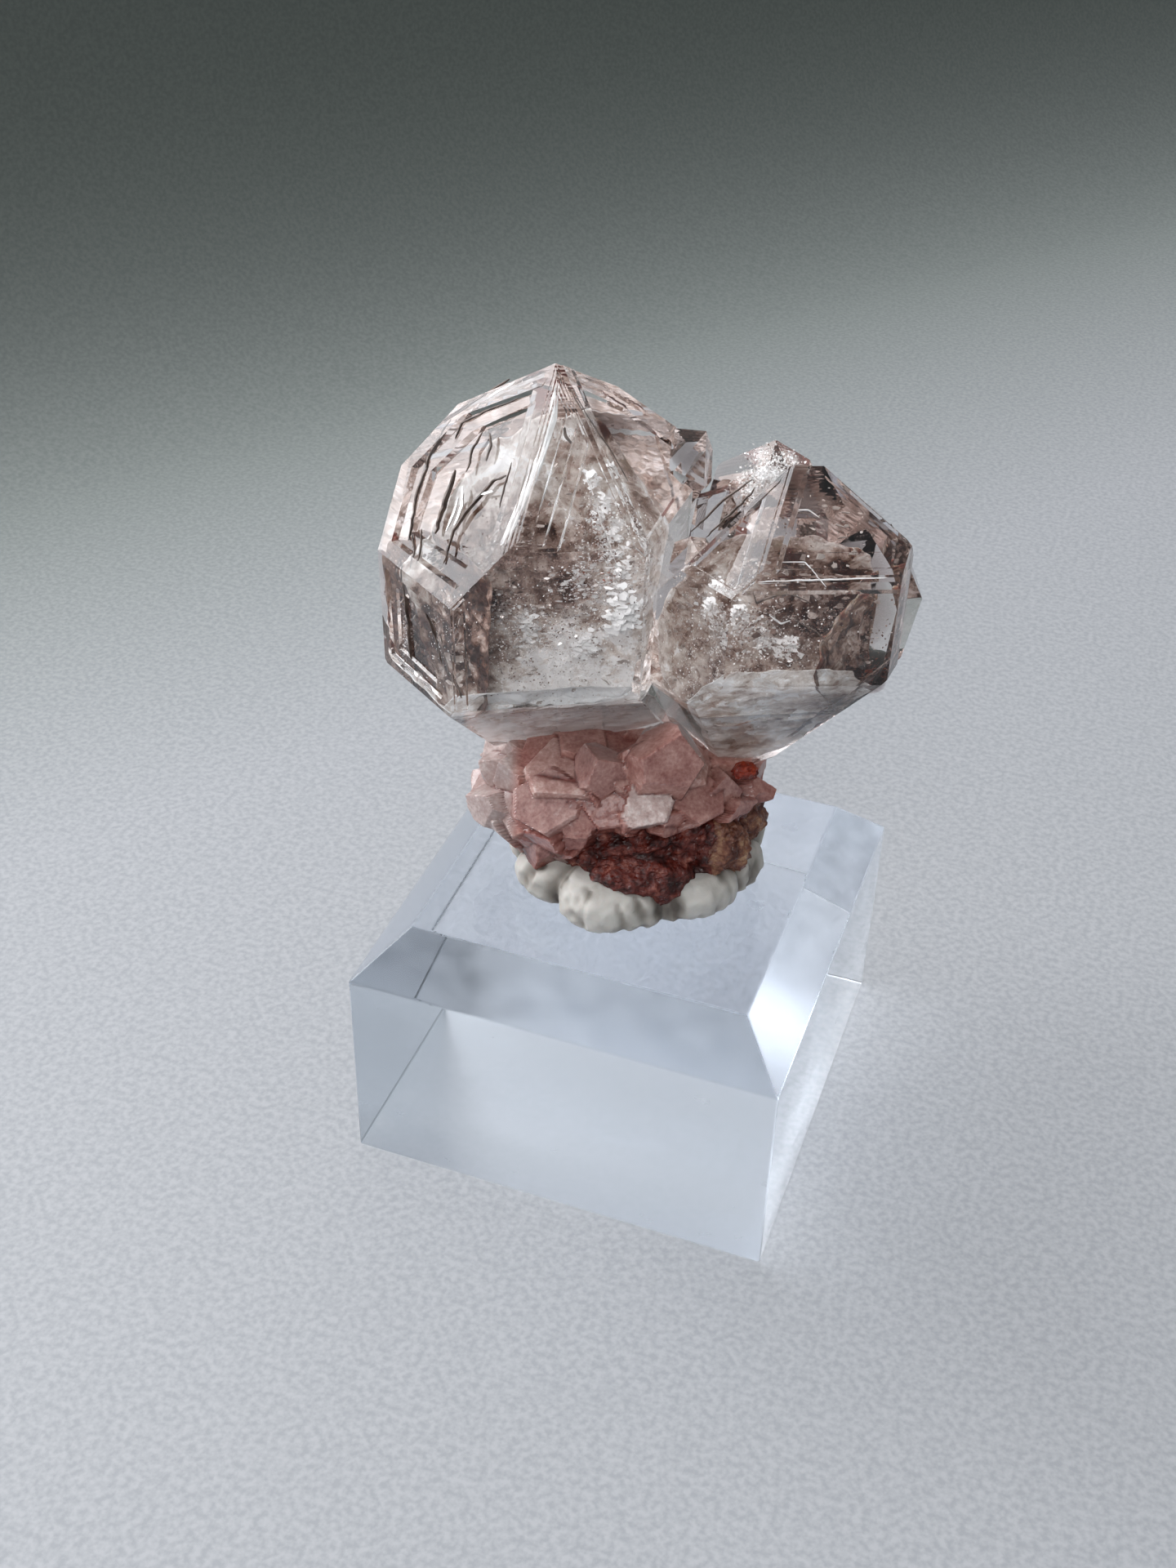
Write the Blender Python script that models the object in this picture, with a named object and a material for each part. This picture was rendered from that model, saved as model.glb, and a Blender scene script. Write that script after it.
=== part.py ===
"""Fenster quartz cluster held on a bevelled clear block.

Two clear quartz crystals with stepped window faces, and six small ones, stand on a crust of
pink quartz. The crust sits in a pad of mineral tack on a polished acrylic block.

Lengths are millimetres until a mesh is finished. The specimen has its own axes, u to its
right, v to its back and z up, and is turned on the block by SPECIMEN_TURN. The origin is the
middle of the block's underside.
"""
import math
import random
from dataclasses import dataclass

import bmesh
import bpy
from mathutils import Matrix, Vector

MM = 0.001
GAP = 0.3
SEED = 20

# Block: a common 1 1/4 inch display base with its top edges bevelled
BLOCK_SIDE = 31.75
BLOCK_HEIGHT = 20.4
BEVEL_INSET = 3.45
BEVEL_DROP = 3.55

# Specimen on the block
SPECIMEN_TURN = math.radians(19.1)

# Quartz: the angle between the long axis and the normal of a tip face
TIP_ANGLE = math.radians(51.8)
TOWARDS_FRONT = Vector((0.0, -1.0, 0.0))
UP = Vector((0.0, 0.0, 1.0))

# Pink crust: a low drum with rounded edges, whose foot is sunk in the putty
CRUST_CENTRE = Vector((-1.0, 0.3, 26.2))
CRUST_RADII = Vector((9.3, 6.2, 5.3))
CRUST_SQUARENESS = 2.7
CRUST_FOOT = 22.2
CRUST_BARE = 1.9
CRUST_POINTS = 116
CRUST_SPACING = 1.7

# Putty: a pressed pad with a rolled, creased rim
PUTTY_CENTRE = Vector((-0.1, -0.6, 0.0))
PUTTY_RADIUS = 9.1
PUTTY_BULGE = 1.0
PUTTY_HEIGHT = 4.4
PUTTY_CREASES = 9
PUTTY_SIDES = 54
PUTTY_RINGS = 8

COLOURS = {
    "clear_quartz": ((0.62, 0.52, 0.49, 1.0), 0.05),
    "pink_quartz": ((0.40, 0.17, 0.15, 1.0), 0.45),
    "mineral_tack": ((0.62, 0.60, 0.55, 1.0), 0.75),
    "clear_acrylic": ((0.80, 0.85, 0.90, 1.0), 0.03),
}


@dataclass(frozen=True)
class Quartz:
    """A six-sided crystal: its centre, its lean, and each face's distance from the centre.

    lean is in degrees, to the right and to the back. spin turns the first prism face from the
    front. prism, tip and base give six distances each, in the order of the faces around.
    """

    centre: tuple
    lean: tuple
    spin: float
    prism: tuple
    tip: tuple
    base: tuple

    def normals(self):
        """Return the outward normals of the prism (m), tip (t) and base (b) faces by name."""
        lean_right, lean_back = (math.tan(math.radians(a)) for a in self.lean)
        axis = Vector((lean_right, lean_back, 1.0)).normalized()
        front = (TOWARDS_FRONT - axis * TOWARDS_FRONT.dot(axis)).normalized()
        side = -front.cross(axis)
        found = {}
        for k in range(6):
            turn = math.radians(self.spin + 60 * k)
            out = front * math.cos(turn) + side * math.sin(turn)
            found[f"m{k}"] = out
            found[f"t{k}"] = axis * math.cos(TIP_ANGLE) + out * math.sin(TIP_ANGLE)
            found[f"b{k}"] = -axis * math.cos(TIP_ANGLE) + out * math.sin(TIP_ANGLE)
        return found

    def planes(self, grow=0.0):
        """Return each face as a name, its normal and its offset from the origin."""
        centre = Vector(self.centre)
        rows = []
        for letter, distances in (("m", self.prism), ("t", self.tip), ("b", self.base)):
            for k, distance in enumerate(distances):
                normal = self.normals()[f"{letter}{k}"]
                rows.append((f"{letter}{k}", normal, normal.dot(centre) + distance + grow))
        return rows


# The left crystal, a stout one. Its small shoulder face lies between tip faces t2 and t3.
LEFT = Quartz(
    centre=(-6.5, 0.5, 43.0), lean=(-0.4, -3.1), spin=8.5,
    prism=(6.8, 8.0, 10.05, 8.3, 9.9, 9.45),
    tip=(10.2, 10.7, 14.1, 10.85, 13.0, 10.0),
    base=(7.85, 12.7, 13.2, 10.6, 10.6, 10.4),
)
SHOULDER_NORMAL = Vector((0.36, 0.61, 0.71)).normalized()
SHOULDER_DISTANCE = 13.2

# The right crystal leans back, and its lower right end tapers to the crust.
RIGHT_HAND = Quartz(
    centre=(9.0, -0.5, 43.0), lean=(1.5, 5.5), spin=8.0,
    prism=(7.65, 8.65, 3.2, 8.2, 11.9, 8.3),
    tip=(9.8, 11.4, 6.5, 4.55, 6.7, 9.35),
    base=(7.05, 7.6, 7.7, 9.0, 12.0, 9.2),
)


# Tip faces of a real crystal are unequal: how far out each of the six lies
TIP_HABIT = (0.98, 1.02, 1.30, 1.03, 1.20, 0.96)


def small_quartz(centre, lean, spin, radius, reach, depth):
    """Return a slim crystal: radius to its prism faces, reach to its apex, depth to its foot."""
    tip = [reach * math.cos(TIP_ANGLE) * share for share in TIP_HABIT]
    base = [depth * math.cos(TIP_ANGLE)] * 6
    prism = [radius * (1.0 if k % 2 else 0.92) for k in range(6)]
    return Quartz(centre, lean, spin, tuple(prism), tuple(tip), tuple(base))


# Small clear crystals: smoky shoulder tip, frosted back one, far right one, two in the joint
# and a stout one that fills the back between the large crystals
SMALL_CLEAR = (
    small_quartz((1.0, 4.0, 49.4), (32.0, 6.0), 8.0, 2.2, 4.9, 6.0),
    small_quartz((8.0, 4.8, 41.5), (1.0, 5.0), 8.0, 4.1, 10.8, 13.0),
    small_quartz((14.6, -0.8, 44.2), (11.0, 2.0), 30.0, 3.2, 5.6, 7.0),
    small_quartz((4.6, 3.2, 45.2), (6.0, -4.0), 20.0, 1.9, 5.2, 6.0),
    small_quartz((3.2, -0.6, 44.4), (-8.0, -8.0), 5.0, 1.5, 4.4, 5.0),
    small_quartz((1.4, 5.6, 37.6), (-6.0, 9.0), 25.0, 3.4, 8.6, 9.0),
)


@dataclass(frozen=True)
class Window:
    """A stepped recess in a crystal face: the steps close in on focus, share by share.

    With no focus, they close in on the face's middle.
    """

    face: str
    focus: tuple
    steps: int
    share: float
    drop: float


LEFT_WINDOWS = (
    Window("t5", (-10.4, -2.5, 53.4), 2, 0.84, 0.32),
    Window("t1", (-0.6, -1.0, 52.6), 1, 0.80, 0.20),
    Window("m5", (-15.2, -3.7, 42.0), 2, 0.78, 0.20),
    Window("t3", None, 2, 0.80, 0.22),
    Window("m3", None, 1, 0.82, 0.20),
)
RIGHT_WINDOWS = (
    Window("t5", (5.6, -5.4, 50.6), 1, 0.80, 0.25),
    Window("t0", (11.2, -5.2, 52.0), 1, 0.84, 0.12),
    Window("m3", None, 1, 0.80, 0.20),
    Window("t2", None, 1, 0.80, 0.18),
)


@dataclass(frozen=True)
class Ledge:
    """A strip of a face that stands proud along the edge it shares with a neighbour.

    setback holds the strip's sides inside the crystal's other faces.
    """

    face: str
    along: str
    width: float
    lift: float
    setback: float


# The bright bundle of ribs beside the left window, and the growth steps of the other edges
LEFT_LEDGES = (
    Ledge("t0", "t5", 2.3, 0.16, 0.05),
    Ledge("t0", "t5", 1.5, 0.30, 0.12),
    Ledge("t0", "t5", 0.8, 0.42, 0.20),
    Ledge("t1", "t0", 0.8, 0.22, 0.10),
    Ledge("m0", "m5", 0.7, 0.20, 0.08),
)
RIGHT_LEDGES = (
    Ledge("t0", "t5", 0.8, 0.20, 0.06),
    Ledge("m0", "t0", 0.6, 0.18, 0.10),
)

# A crust crystal lies on its side, so that one big tip face looks outwards: how far its axis
# leans from outwards at least and at most, and how far out each face lies as a share of its
# radius, the big face as a share of its stand
CRUST_LEANS = (math.radians(28), math.radians(60))
CRUST_BIG_FACE = 0.62
CRUST_TIP_HABIT = (0.0, 0.92, 1.25, 1.1, 1.3, 0.84)

# Crust crystals that face the front, chosen by hand: a point towards which each one lies,
# its radius and how far it stands out
FRONT_POINTS = (
    (1.5, -6.2, 28.4, 2.1, 2.3),
    (-2.9, -6.2, 27.6, 2.0, 2.2),
    (-6.2, -5.6, 27.4, 1.8, 2.0),
    (-4.4, -4.8, 30.2, 1.8, 1.9),
    (-0.2, -5.0, 30.8, 1.7, 1.7),
    (-8.9, -3.6, 28.8, 1.7, 2.0),
    (5.0, -5.4, 28.8, 1.9, 2.1),
    (4.2, -4.4, 31.0, 1.7, 2.3),
    (2.2, -3.8, 31.6, 1.7, 2.8),
    (-0.9, -6.0, 25.6, 1.6, 1.6),
    (7.8, -3.4, 28.8, 1.7, 2.2),
    (-10.0, -2.0, 25.4, 1.6, 2.0),
    (-9.6, -3.2, 30.2, 1.5, 1.8),
    (-7.2, -4.6, 31.6, 1.5, 1.7),
    (-5.0, -4.0, 32.8, 1.6, 1.9),
    (-2.6, -3.4, 33.0, 1.5, 1.7),
    (0.4, -3.4, 33.4, 1.6, 2.0),
    (5.8, -3.6, 32.4, 1.5, 1.8),
    (7.6, -2.4, 31.8, 1.5, 1.8),
)


# Broken rusty matrix under the crust's front and right: centre and radii of each lump
MATRIX_LUMPS = (
    ((1.6, -5.0, 24.4), (3.6, 2.7, 2.3)),
    ((5.2, -3.2, 25.6), (3.2, 2.6, 2.4)),
    ((-2.4, -4.4, 24.2), (3.0, 2.0, 1.9)),
    ((7.2, -0.8, 26.0), (2.4, 2.6, 2.2)),
)


def polyhedron(planes, middle, reach=45.0):
    """Return a bmesh of the space inside every plane: a big cube, cut by each in turn."""
    bm = bmesh.new()
    bmesh.ops.create_cube(bm, size=2 * reach, matrix=Matrix.Translation(middle))
    for _name, normal, offset in planes:
        cut = bmesh.ops.bisect_plane(
            bm, geom=bm.verts[:] + bm.edges[:] + bm.faces[:], dist=1e-4,
            plane_co=normal * offset, plane_no=normal, clear_outer=True,
        )
        rim = [part for part in cut["geom_cut"] if isinstance(part, bmesh.types.BMEdge)]
        if len(rim) > 2:
            bmesh.ops.contextual_create(bm, geom=rim)
    bmesh.ops.remove_doubles(bm, verts=bm.verts, dist=0.03)
    bmesh.ops.dissolve_degenerate(bm, edges=bm.edges, dist=0.01)
    bmesh.ops.recalc_face_normals(bm, faces=bm.faces)
    return bm


def face_of(bm, normal):
    """Return the largest face that looks along normal."""
    facing = [face for face in bm.faces if face.normal.dot(normal) > 0.999]
    return max(facing, key=lambda face: face.calc_area())


def sink_window(bm, normal, window, rng):
    """Step a face inwards: each step is a flat ledge and then a steep riser."""
    face = face_of(bm, normal)
    focus = Vector(window.focus) if window.focus else face.calc_center_median()
    focus -= normal * (focus - face.verts[0].co).dot(normal)
    for _step in range(window.steps):
        for share, drop in ((window.share, 0.0), (0.96, window.drop)):
            bmesh.ops.inset_individual(bm, faces=[face], thickness=1e-3)
            for vert in face.verts:
                close_in = share * (1.0 if drop else rng.uniform(0.93, 1.05))
                vert.co = focus + (vert.co - focus) * min(close_in, 0.97) - normal * drop
        focus -= normal * window.drop


def ledge_planes(planes, ledge):
    """Return the planes of a thin slab on one face, next to the edge with its neighbour."""
    by_name = {name: (normal, offset) for name, normal, offset in planes}
    face_normal, face_offset = by_name[ledge.face]
    side_normal, side_offset = by_name[ledge.along]
    slab = [(name, n, offset - ledge.setback) for name, n, offset in planes if name != ledge.face]
    slab.append(("top", face_normal, face_offset + ledge.lift))
    slab.append(("limit", -side_normal, ledge.width - side_offset))
    slab.append(("under", -face_normal, 1.0 - face_offset))
    return slab


def append_mesh(bm, other):
    """Copy another bmesh into bm as a body of its own, and free it."""
    mesh = bpy.data.meshes.new("part")
    other.to_mesh(mesh)
    other.free()
    bm.from_mesh(mesh)
    bpy.data.meshes.remove(mesh)


def finish_mesh(name, bm, material, parent=None):
    """Turn a bmesh in millimetres into an object in metres."""
    bmesh.ops.scale(bm, vec=(MM, MM, MM), verts=bm.verts)
    mesh = bpy.data.meshes.new(name)
    bm.to_mesh(mesh)
    bm.free()
    if material:
        mesh.materials.append(material)
    obj = bpy.data.objects.new(name, mesh)
    bpy.context.scene.collection.objects.link(obj)
    obj.parent = parent
    return obj


def cutter(name, bm, parent):
    """Make a helper body, which is used by a Boolean and is no part of the object."""
    obj = finish_mesh(name, bm, None, parent)
    obj.hide_render = True
    obj.display_type = "WIRE"
    return obj


def boolean(obj, operand, operation, self_crossing=False):
    """Add an exact Boolean with another object."""
    modifier = obj.modifiers.new(f"{operation.lower()} {operand.name}", "BOOLEAN")
    modifier.operation = operation
    modifier.solver = "EXACT"
    modifier.object = operand
    modifier.use_self = self_crossing


def finish(name):
    """Return a plain material for a sub-part, named for what it is made of."""
    colour, roughness = COLOURS[name]
    material = bpy.data.materials.new(name)
    material.use_nodes = True
    shader = material.node_tree.nodes["Principled BSDF"]
    shader.inputs["Base Color"].default_value = colour
    shader.inputs["Roughness"].default_value = roughness
    shader.inputs["Metallic"].default_value = 0.0
    return material


def left_planes(grow=0.0):
    """Return the left crystal's planes with its shoulder face."""
    shoulder = SHOULDER_NORMAL.dot(Vector(LEFT.centre)) + SHOULDER_DISTANCE + grow
    return LEFT.planes(grow) + [("s2", SHOULDER_NORMAL, shoulder)]


def windowed(crystal, planes, windows, rng):
    """Return a crystal's body with its stepped windows."""
    bm = polyhedron(planes, Vector(crystal.centre))
    normals = crystal.normals()
    for window in windows:
        sink_window(bm, normals[window.face], window, rng)
    return bm


def build_clear_crystals(parent):
    """Fuse the two large crystals, their growth ledges and the small clear ones."""
    rng = random.Random(SEED)
    body = windowed(LEFT, left_planes(), LEFT_WINDOWS, rng)
    crystals = finish_mesh("clear_crystals", body, finish("clear_quartz"), parent)
    others = windowed(RIGHT_HAND, RIGHT_HAND.planes(), RIGHT_WINDOWS, rng)
    for ledge in LEFT_LEDGES:
        append_mesh(others, polyhedron(ledge_planes(left_planes(), ledge), Vector(LEFT.centre)))
    for ledge in RIGHT_LEDGES:
        slab = ledge_planes(RIGHT_HAND.planes(), ledge)
        append_mesh(others, polyhedron(slab, Vector(RIGHT_HAND.centre)))
    for crystal in SMALL_CLEAR:
        append_mesh(others, polyhedron(crystal.planes(), Vector(crystal.centre)))
    boolean(crystals, cutter("other_clear_crystals", others, parent), "UNION", True)
    return crystals


def clear_envelope(parent):
    """Return the clear crystals grown by the gap, which the crust is cut by."""
    bm = polyhedron(left_planes(GAP), Vector(LEFT.centre))
    for crystal in (RIGHT_HAND,) + SMALL_CLEAR:
        append_mesh(bm, polyhedron(crystal.planes(GAP), Vector(crystal.centre)))
    return cutter("clear_crystals_with_gap", bm, parent)


def crust_surface(direction, grow=0.0):
    """Return the point of the crust's drum in a direction, and its outward normal there.

    The drum is a squared ellipsoid: its shares of the radii, each raised to the squareness,
    add up to one.
    """
    radii = [r + grow for r in CRUST_RADII]
    total = sum(abs(d / r) ** CRUST_SQUARENESS for d, r in zip(direction, radii))
    offset = direction / total ** (1.0 / CRUST_SQUARENESS)
    slopes = [
        math.copysign(abs(o / r) ** (CRUST_SQUARENESS - 1.0) / r, o) for o, r in zip(offset, radii)
    ]
    return CRUST_CENTRE + offset, Vector(slopes).normalized()


def point_crystal(place, outward, radius, stand, turn, lean, grow):
    """Return a short crystal whose axis leans from outward, with its big tip face outermost."""
    side = outward.orthogonal().normalized()
    tangent = side * math.cos(turn) + outward.cross(side) * math.sin(turn)
    axis = outward * math.cos(lean) + tangent * math.sin(lean)
    first = outward * math.sin(lean) - tangent * math.cos(lean)
    second = axis.cross(first)
    planes = [("foot", -outward, -outward.dot(place) + 2.5 + grow)]
    for k in range(6):
        spin = math.radians(60 * k)
        out = first * math.cos(spin) + second * math.sin(spin)
        reach = radius * (1.0 if k % 2 else 0.92)
        planes.append((f"m{k}", out, out.dot(place) + reach + grow))
        slope = axis * math.cos(TIP_ANGLE) + out * math.sin(TIP_ANGLE)
        reach = radius * CRUST_TIP_HABIT[k] if k else stand * CRUST_BIG_FACE
        planes.append((f"t{k}", slope, slope.dot(place) + reach + grow))
    return polyhedron(planes, place, 12.0)


def crust_points(rng):
    """Yield each crust crystal: its place, outward direction, radius and stand."""
    taken = []
    for u, v, z, radius, stand in FRONT_POINTS:
        place, normal = crust_surface(Vector((u, v, z)) - CRUST_CENTRE)
        taken.append(place)
        yield place, (normal + 0.25 * UP).normalized(), radius, stand
    for k in range(CRUST_POINTS):
        height = 1.0 - 2.0 * (k + 0.5) / CRUST_POINTS
        turn = k * math.pi * (3.0 - math.sqrt(5.0))
        flat = math.sqrt(1.0 - height * height)
        direction = Vector((flat * math.cos(turn), flat * math.sin(turn), height))
        place, normal = crust_surface(direction)
        jitter = Vector(rng.uniform(-0.25, 0.25) for _axis in range(3))
        radius = rng.uniform(1.3, 2.3)
        stand = rng.uniform(0.9, 2.1)
        crowded = any((place - other).length < CRUST_SPACING for other in taken)
        if crowded or place.z < CRUST_FOOT + CRUST_BARE or height > 0.9:
            continue
        yield place, (normal + jitter).normalized(), radius, stand


def rough_ball(centre, radii, grow, rng):
    """Return a lump of broken matrix: an icosphere with every corner moved a little."""
    bm = bmesh.new()
    bmesh.ops.create_icosphere(bm, subdivisions=2, radius=1.0)
    for vert in bm.verts:
        push = rng.uniform(0.88, 1.08)
        vert.co = Vector(c * (r * push + grow) for c, r in zip(vert.co, radii)) + centre
    return bm


def crust_bodies(grow):
    """Return the crust's bodies as one bmesh, each grown by the same amount."""
    rng = random.Random(SEED)
    bm = bmesh.new()
    for centre, radii in MATRIX_LUMPS:
        append_mesh(bm, rough_ball(Vector(centre), radii, grow, rng))
    for place, outward, radius, stand in crust_points(rng):
        turn = rng.uniform(0.0, math.radians(360.0))
        lean = rng.uniform(*CRUST_LEANS)
        append_mesh(bm, point_crystal(place, outward, radius, stand, turn, lean, grow))
    return bm


def crust_core(grow):
    """Return the crust's drum, which every crust crystal grows from."""
    bm = bmesh.new()
    bmesh.ops.create_icosphere(bm, subdivisions=3, radius=1.0)
    for vert in bm.verts:
        vert.co = crust_surface(vert.co, grow)[0]
    return bm


def below_foot(level, parent):
    """Return a slab that ends the crust flat at a level, down in the putty."""
    bm = bmesh.new()
    bmesh.ops.create_cube(bm, size=40.0, matrix=Matrix.Translation((0.0, 0.0, level - 20.0)))
    return cutter("below_crust_foot", bm, parent)


def fuse_crust(core, grow, parent):
    """Fuse a crust's drum with its lumps and crystals, and end it flat at its foot."""
    boolean(core, cutter(f"{core.name}_bodies", crust_bodies(grow), parent), "UNION", True)
    boolean(core, below_foot(CRUST_FOOT - grow, parent), "DIFFERENCE")
    return core


def build_pink_crust(parent, envelope):
    """Fuse the crust, and cut the seats of the clear crystals in it."""
    crust = finish_mesh("pink_crust", crust_core(0.0), finish("pink_quartz"), parent)
    fuse_crust(crust, 0.0, parent)
    boolean(crust, envelope, "DIFFERENCE", True)
    return crust


def putty_point(turn, share):
    """Return a point of the putty's skin: turn goes around, share from underside to top.

    The profile is a flattened round. Creases run outwards and part the rim in lobes.
    """
    lobes = abs(math.sin(0.5 * PUTTY_CREASES * turn + 0.9 * math.sin(2.0 * turn)))
    lobe = lobes ** 0.6 - 0.6
    sway = 0.35 * math.sin(turn + 0.6) + 0.3 * math.cos(3.0 * turn)
    angle = math.pi * (share - 0.5)
    out = abs(math.cos(angle)) ** 0.55
    rise = 0.5 + 0.5 * math.copysign(abs(math.sin(angle)) ** 0.75, math.sin(angle))
    radius = (PUTTY_RADIUS + sway + PUTTY_BULGE * lobe * out) * out
    height = PUTTY_HEIGHT * rise * (1.0 + 0.10 * lobe * out)
    return Vector((radius * math.cos(turn), radius * math.sin(turn), height))


def build_putty_pad(parent):
    """Press the putty flat on the block, and cut the seat of the crust in it."""
    bm = bmesh.new()
    foot = PUTTY_CENTRE + UP * (BLOCK_HEIGHT + GAP)
    rings = []
    for row in range(1, PUTTY_RINGS):
        turns = [2.0 * math.pi * k / PUTTY_SIDES for k in range(PUTTY_SIDES)]
        rings.append([bm.verts.new(foot + putty_point(t, row / PUTTY_RINGS)) for t in turns])
    for lower, upper in zip(rings, rings[1:]):
        for k in range(PUTTY_SIDES):
            after = (k + 1) % PUTTY_SIDES
            bm.faces.new((lower[k], lower[after], upper[after], upper[k]))
    for ring in (rings[0], rings[-1]):
        for vert in ring:
            vert.co.z = ring[0].co.z
    bm.faces.new(rings[0][::-1])
    bm.faces.new(rings[-1])
    bmesh.ops.recalc_face_normals(bm, faces=bm.faces)
    putty = finish_mesh("putty_pad", bm, finish("mineral_tack"), parent)
    seat = fuse_crust(cutter("crust_seat", crust_core(GAP), parent), GAP, parent)
    boolean(putty, seat, "DIFFERENCE")
    return putty


def build_acrylic_block():
    """Make the block as a box whose four top edges carry a wide flat bevel."""
    half = BLOCK_SIDE / 2
    levels = ((0.0, half), (BLOCK_HEIGHT - BEVEL_DROP, half), (BLOCK_HEIGHT, half - BEVEL_INSET))
    bm = bmesh.new()
    rings = []
    for z, reach in levels:
        corners = ((-reach, -reach), (reach, -reach), (reach, reach), (-reach, reach))
        rings.append([bm.verts.new((x, y, z)) for x, y in corners])
    bmesh.ops.contextual_create(bm, geom=rings[0])
    bmesh.ops.contextual_create(bm, geom=rings[-1])
    for lower, upper in zip(rings, rings[1:]):
        for k in range(4):
            after = (k + 1) % 4
            bm.faces.new((lower[k], lower[after], upper[after], upper[k]))
    bmesh.ops.recalc_face_normals(bm, faces=bm.faces)
    return finish_mesh("acrylic_block", bm, finish("clear_acrylic"))


def main():
    """Clear the scene and build the four pieces."""
    for old in list(bpy.data.objects):
        bpy.data.objects.remove(old)
    build_acrylic_block()
    specimen = bpy.data.objects.new("specimen", None)
    specimen.rotation_euler.z = SPECIMEN_TURN
    bpy.context.scene.collection.objects.link(specimen)
    build_clear_crystals(specimen)
    build_pink_crust(specimen, clear_envelope(specimen))
    build_putty_pad(specimen)


main()
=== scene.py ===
"""Looks of a fenster quartz cluster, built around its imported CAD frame.

Two window-faced quartz crystals and six small ones stand on a pink quartz crust, which sits
in a pad of putty on a bevelled acrylic block. The clear crystals keep their CAD solid and get
inclusions inside it; crust, putty and block are replaced by finer meshes of the same size.

Sizes are millimetres in the specimen's own axes (u to its right, v to its back, z up) until
``to_frame`` turns them on the block and makes them metres.
"""

from __future__ import annotations

import logging
import math
from dataclasses import dataclass, field
from enum import Enum
from typing import Any

import bpy
import numpy as np
from mathutils import Matrix, Vector

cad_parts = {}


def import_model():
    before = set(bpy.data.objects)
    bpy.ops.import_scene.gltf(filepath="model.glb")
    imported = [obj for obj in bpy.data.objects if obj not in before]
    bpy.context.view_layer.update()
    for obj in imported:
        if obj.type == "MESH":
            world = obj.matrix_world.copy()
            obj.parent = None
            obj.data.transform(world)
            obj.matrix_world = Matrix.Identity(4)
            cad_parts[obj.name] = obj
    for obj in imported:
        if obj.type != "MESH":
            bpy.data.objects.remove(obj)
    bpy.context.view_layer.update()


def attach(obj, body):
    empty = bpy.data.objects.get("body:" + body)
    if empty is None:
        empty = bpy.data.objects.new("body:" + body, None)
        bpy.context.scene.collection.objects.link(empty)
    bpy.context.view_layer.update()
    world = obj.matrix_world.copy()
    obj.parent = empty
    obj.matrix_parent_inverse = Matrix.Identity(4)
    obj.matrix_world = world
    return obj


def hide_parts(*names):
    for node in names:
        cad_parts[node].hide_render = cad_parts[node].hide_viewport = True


log = logging.getLogger("fenster_quartz")

MM = 0.001
SPECIMEN_TURN = math.radians(19.1)
TIP_ANGLE = math.radians(51.8)
Array = np.ndarray
Shape = tuple[Array, Any]
# What every clear finish shares: colourless light goes through, and only the volume tints it
CLEAR = {"Base Color": (1.0, 1.0, 1.0, 1.0), "Transmission Weight": 1.0}


class Slot(Enum):
    """Material slots of the record."""

    CLEAR_QUARTZ = "clear_quartz"
    PINK_QUARTZ = "pink_quartz"
    MINERAL_TACK = "mineral_tack"
    CLEAR_ACRYLIC = "clear_acrylic"


# Small tools


def linear(hex_colour: str) -> tuple[float, float, float, float]:
    """Turn an sRGB hex colour into linear RGBA.

    Args:
        hex_colour: Six hex digits, with or without a leading hash.

    Returns:
        Red, green, blue and alpha, each from 0 to 1.
    """
    digits = hex_colour.lstrip("#")
    srgb = [int(digits[k : k + 2], 16) / 255.0 for k in (0, 2, 4)]
    red, green, blue = (c / 12.92 if c <= 0.04045 else ((c + 0.055) / 1.055) ** 2.4 for c in srgb)
    return red, green, blue, 1.0


def adjust(tree: Any, node: Any, settings: dict | None = None, **links: Any) -> Any:
    """Set a node's values and link its inputs.

    Args:
        tree: The node tree.
        node: The node.
        settings: Attribute names, or input names or numbers, with their values.
        links: Input names, with spaces written as underscores and numbers as _0, and the
            sockets that feed them, or nodes, which stand for their first socket.

    Returns:
        The node.
    """
    for name, value in (settings or {}).items():
        if isinstance(name, str) and hasattr(node, name):
            setattr(node, name, value)
        else:
            node.inputs[name].default_value = value
    for name, source in links.items():
        key = int(name[1:]) if name[:1] == "_" else name.replace("_", " ")
        socket = source.outputs[0] if isinstance(source, bpy.types.Node) else source
        tree.links.new(socket, node.inputs[key])
    return node


def add_node(tree: Any, kind: str, settings: dict | None = None, **links: Any) -> Any:
    """Add a shader node, its kind written without the common prefix, and adjust it."""
    return adjust(tree, tree.nodes.new(f"ShaderNode{kind}"), settings, **links)


def scale_for(size_mm: float) -> float:
    """Return the scale of a pattern whose cells are so many millimetres wide."""
    return 1.0 / (size_mm * MM)


def colour_steps(tree: Any, factor: Any, steps: list[tuple[float, str]]) -> Any:
    """Add a colour ramp.

    Args:
        tree: The node tree.
        factor: The socket or node that feeds it.
        steps: Its stops: place and hex colour.

    Returns:
        The ramp.
    """
    ramp = add_node(tree, "ValToRGB", Fac=factor)
    stops = ramp.color_ramp.elements
    while len(stops) < len(steps):
        stops.new(1.0)
    for stop, (place, colour) in zip(stops, steps):
        stop.position = place
        stop.color = linear(colour)
    return ramp


def new_material(name: str) -> tuple[bpy.types.Material, Any, Any, Any]:
    """Make a node material.

    Args:
        name: The finish's name.

    Returns:
        The material, its tree, its Principled node and the Object coordinate socket.
    """
    material = bpy.data.materials.new(name)
    material.use_nodes = True
    tree = material.node_tree
    tree.nodes.clear()
    shader = add_node(tree, "BsdfPrincipled")
    add_node(tree, "OutputMaterial", Surface=shader)
    return material, tree, shader, add_node(tree, "TexCoord").outputs["Object"]


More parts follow.
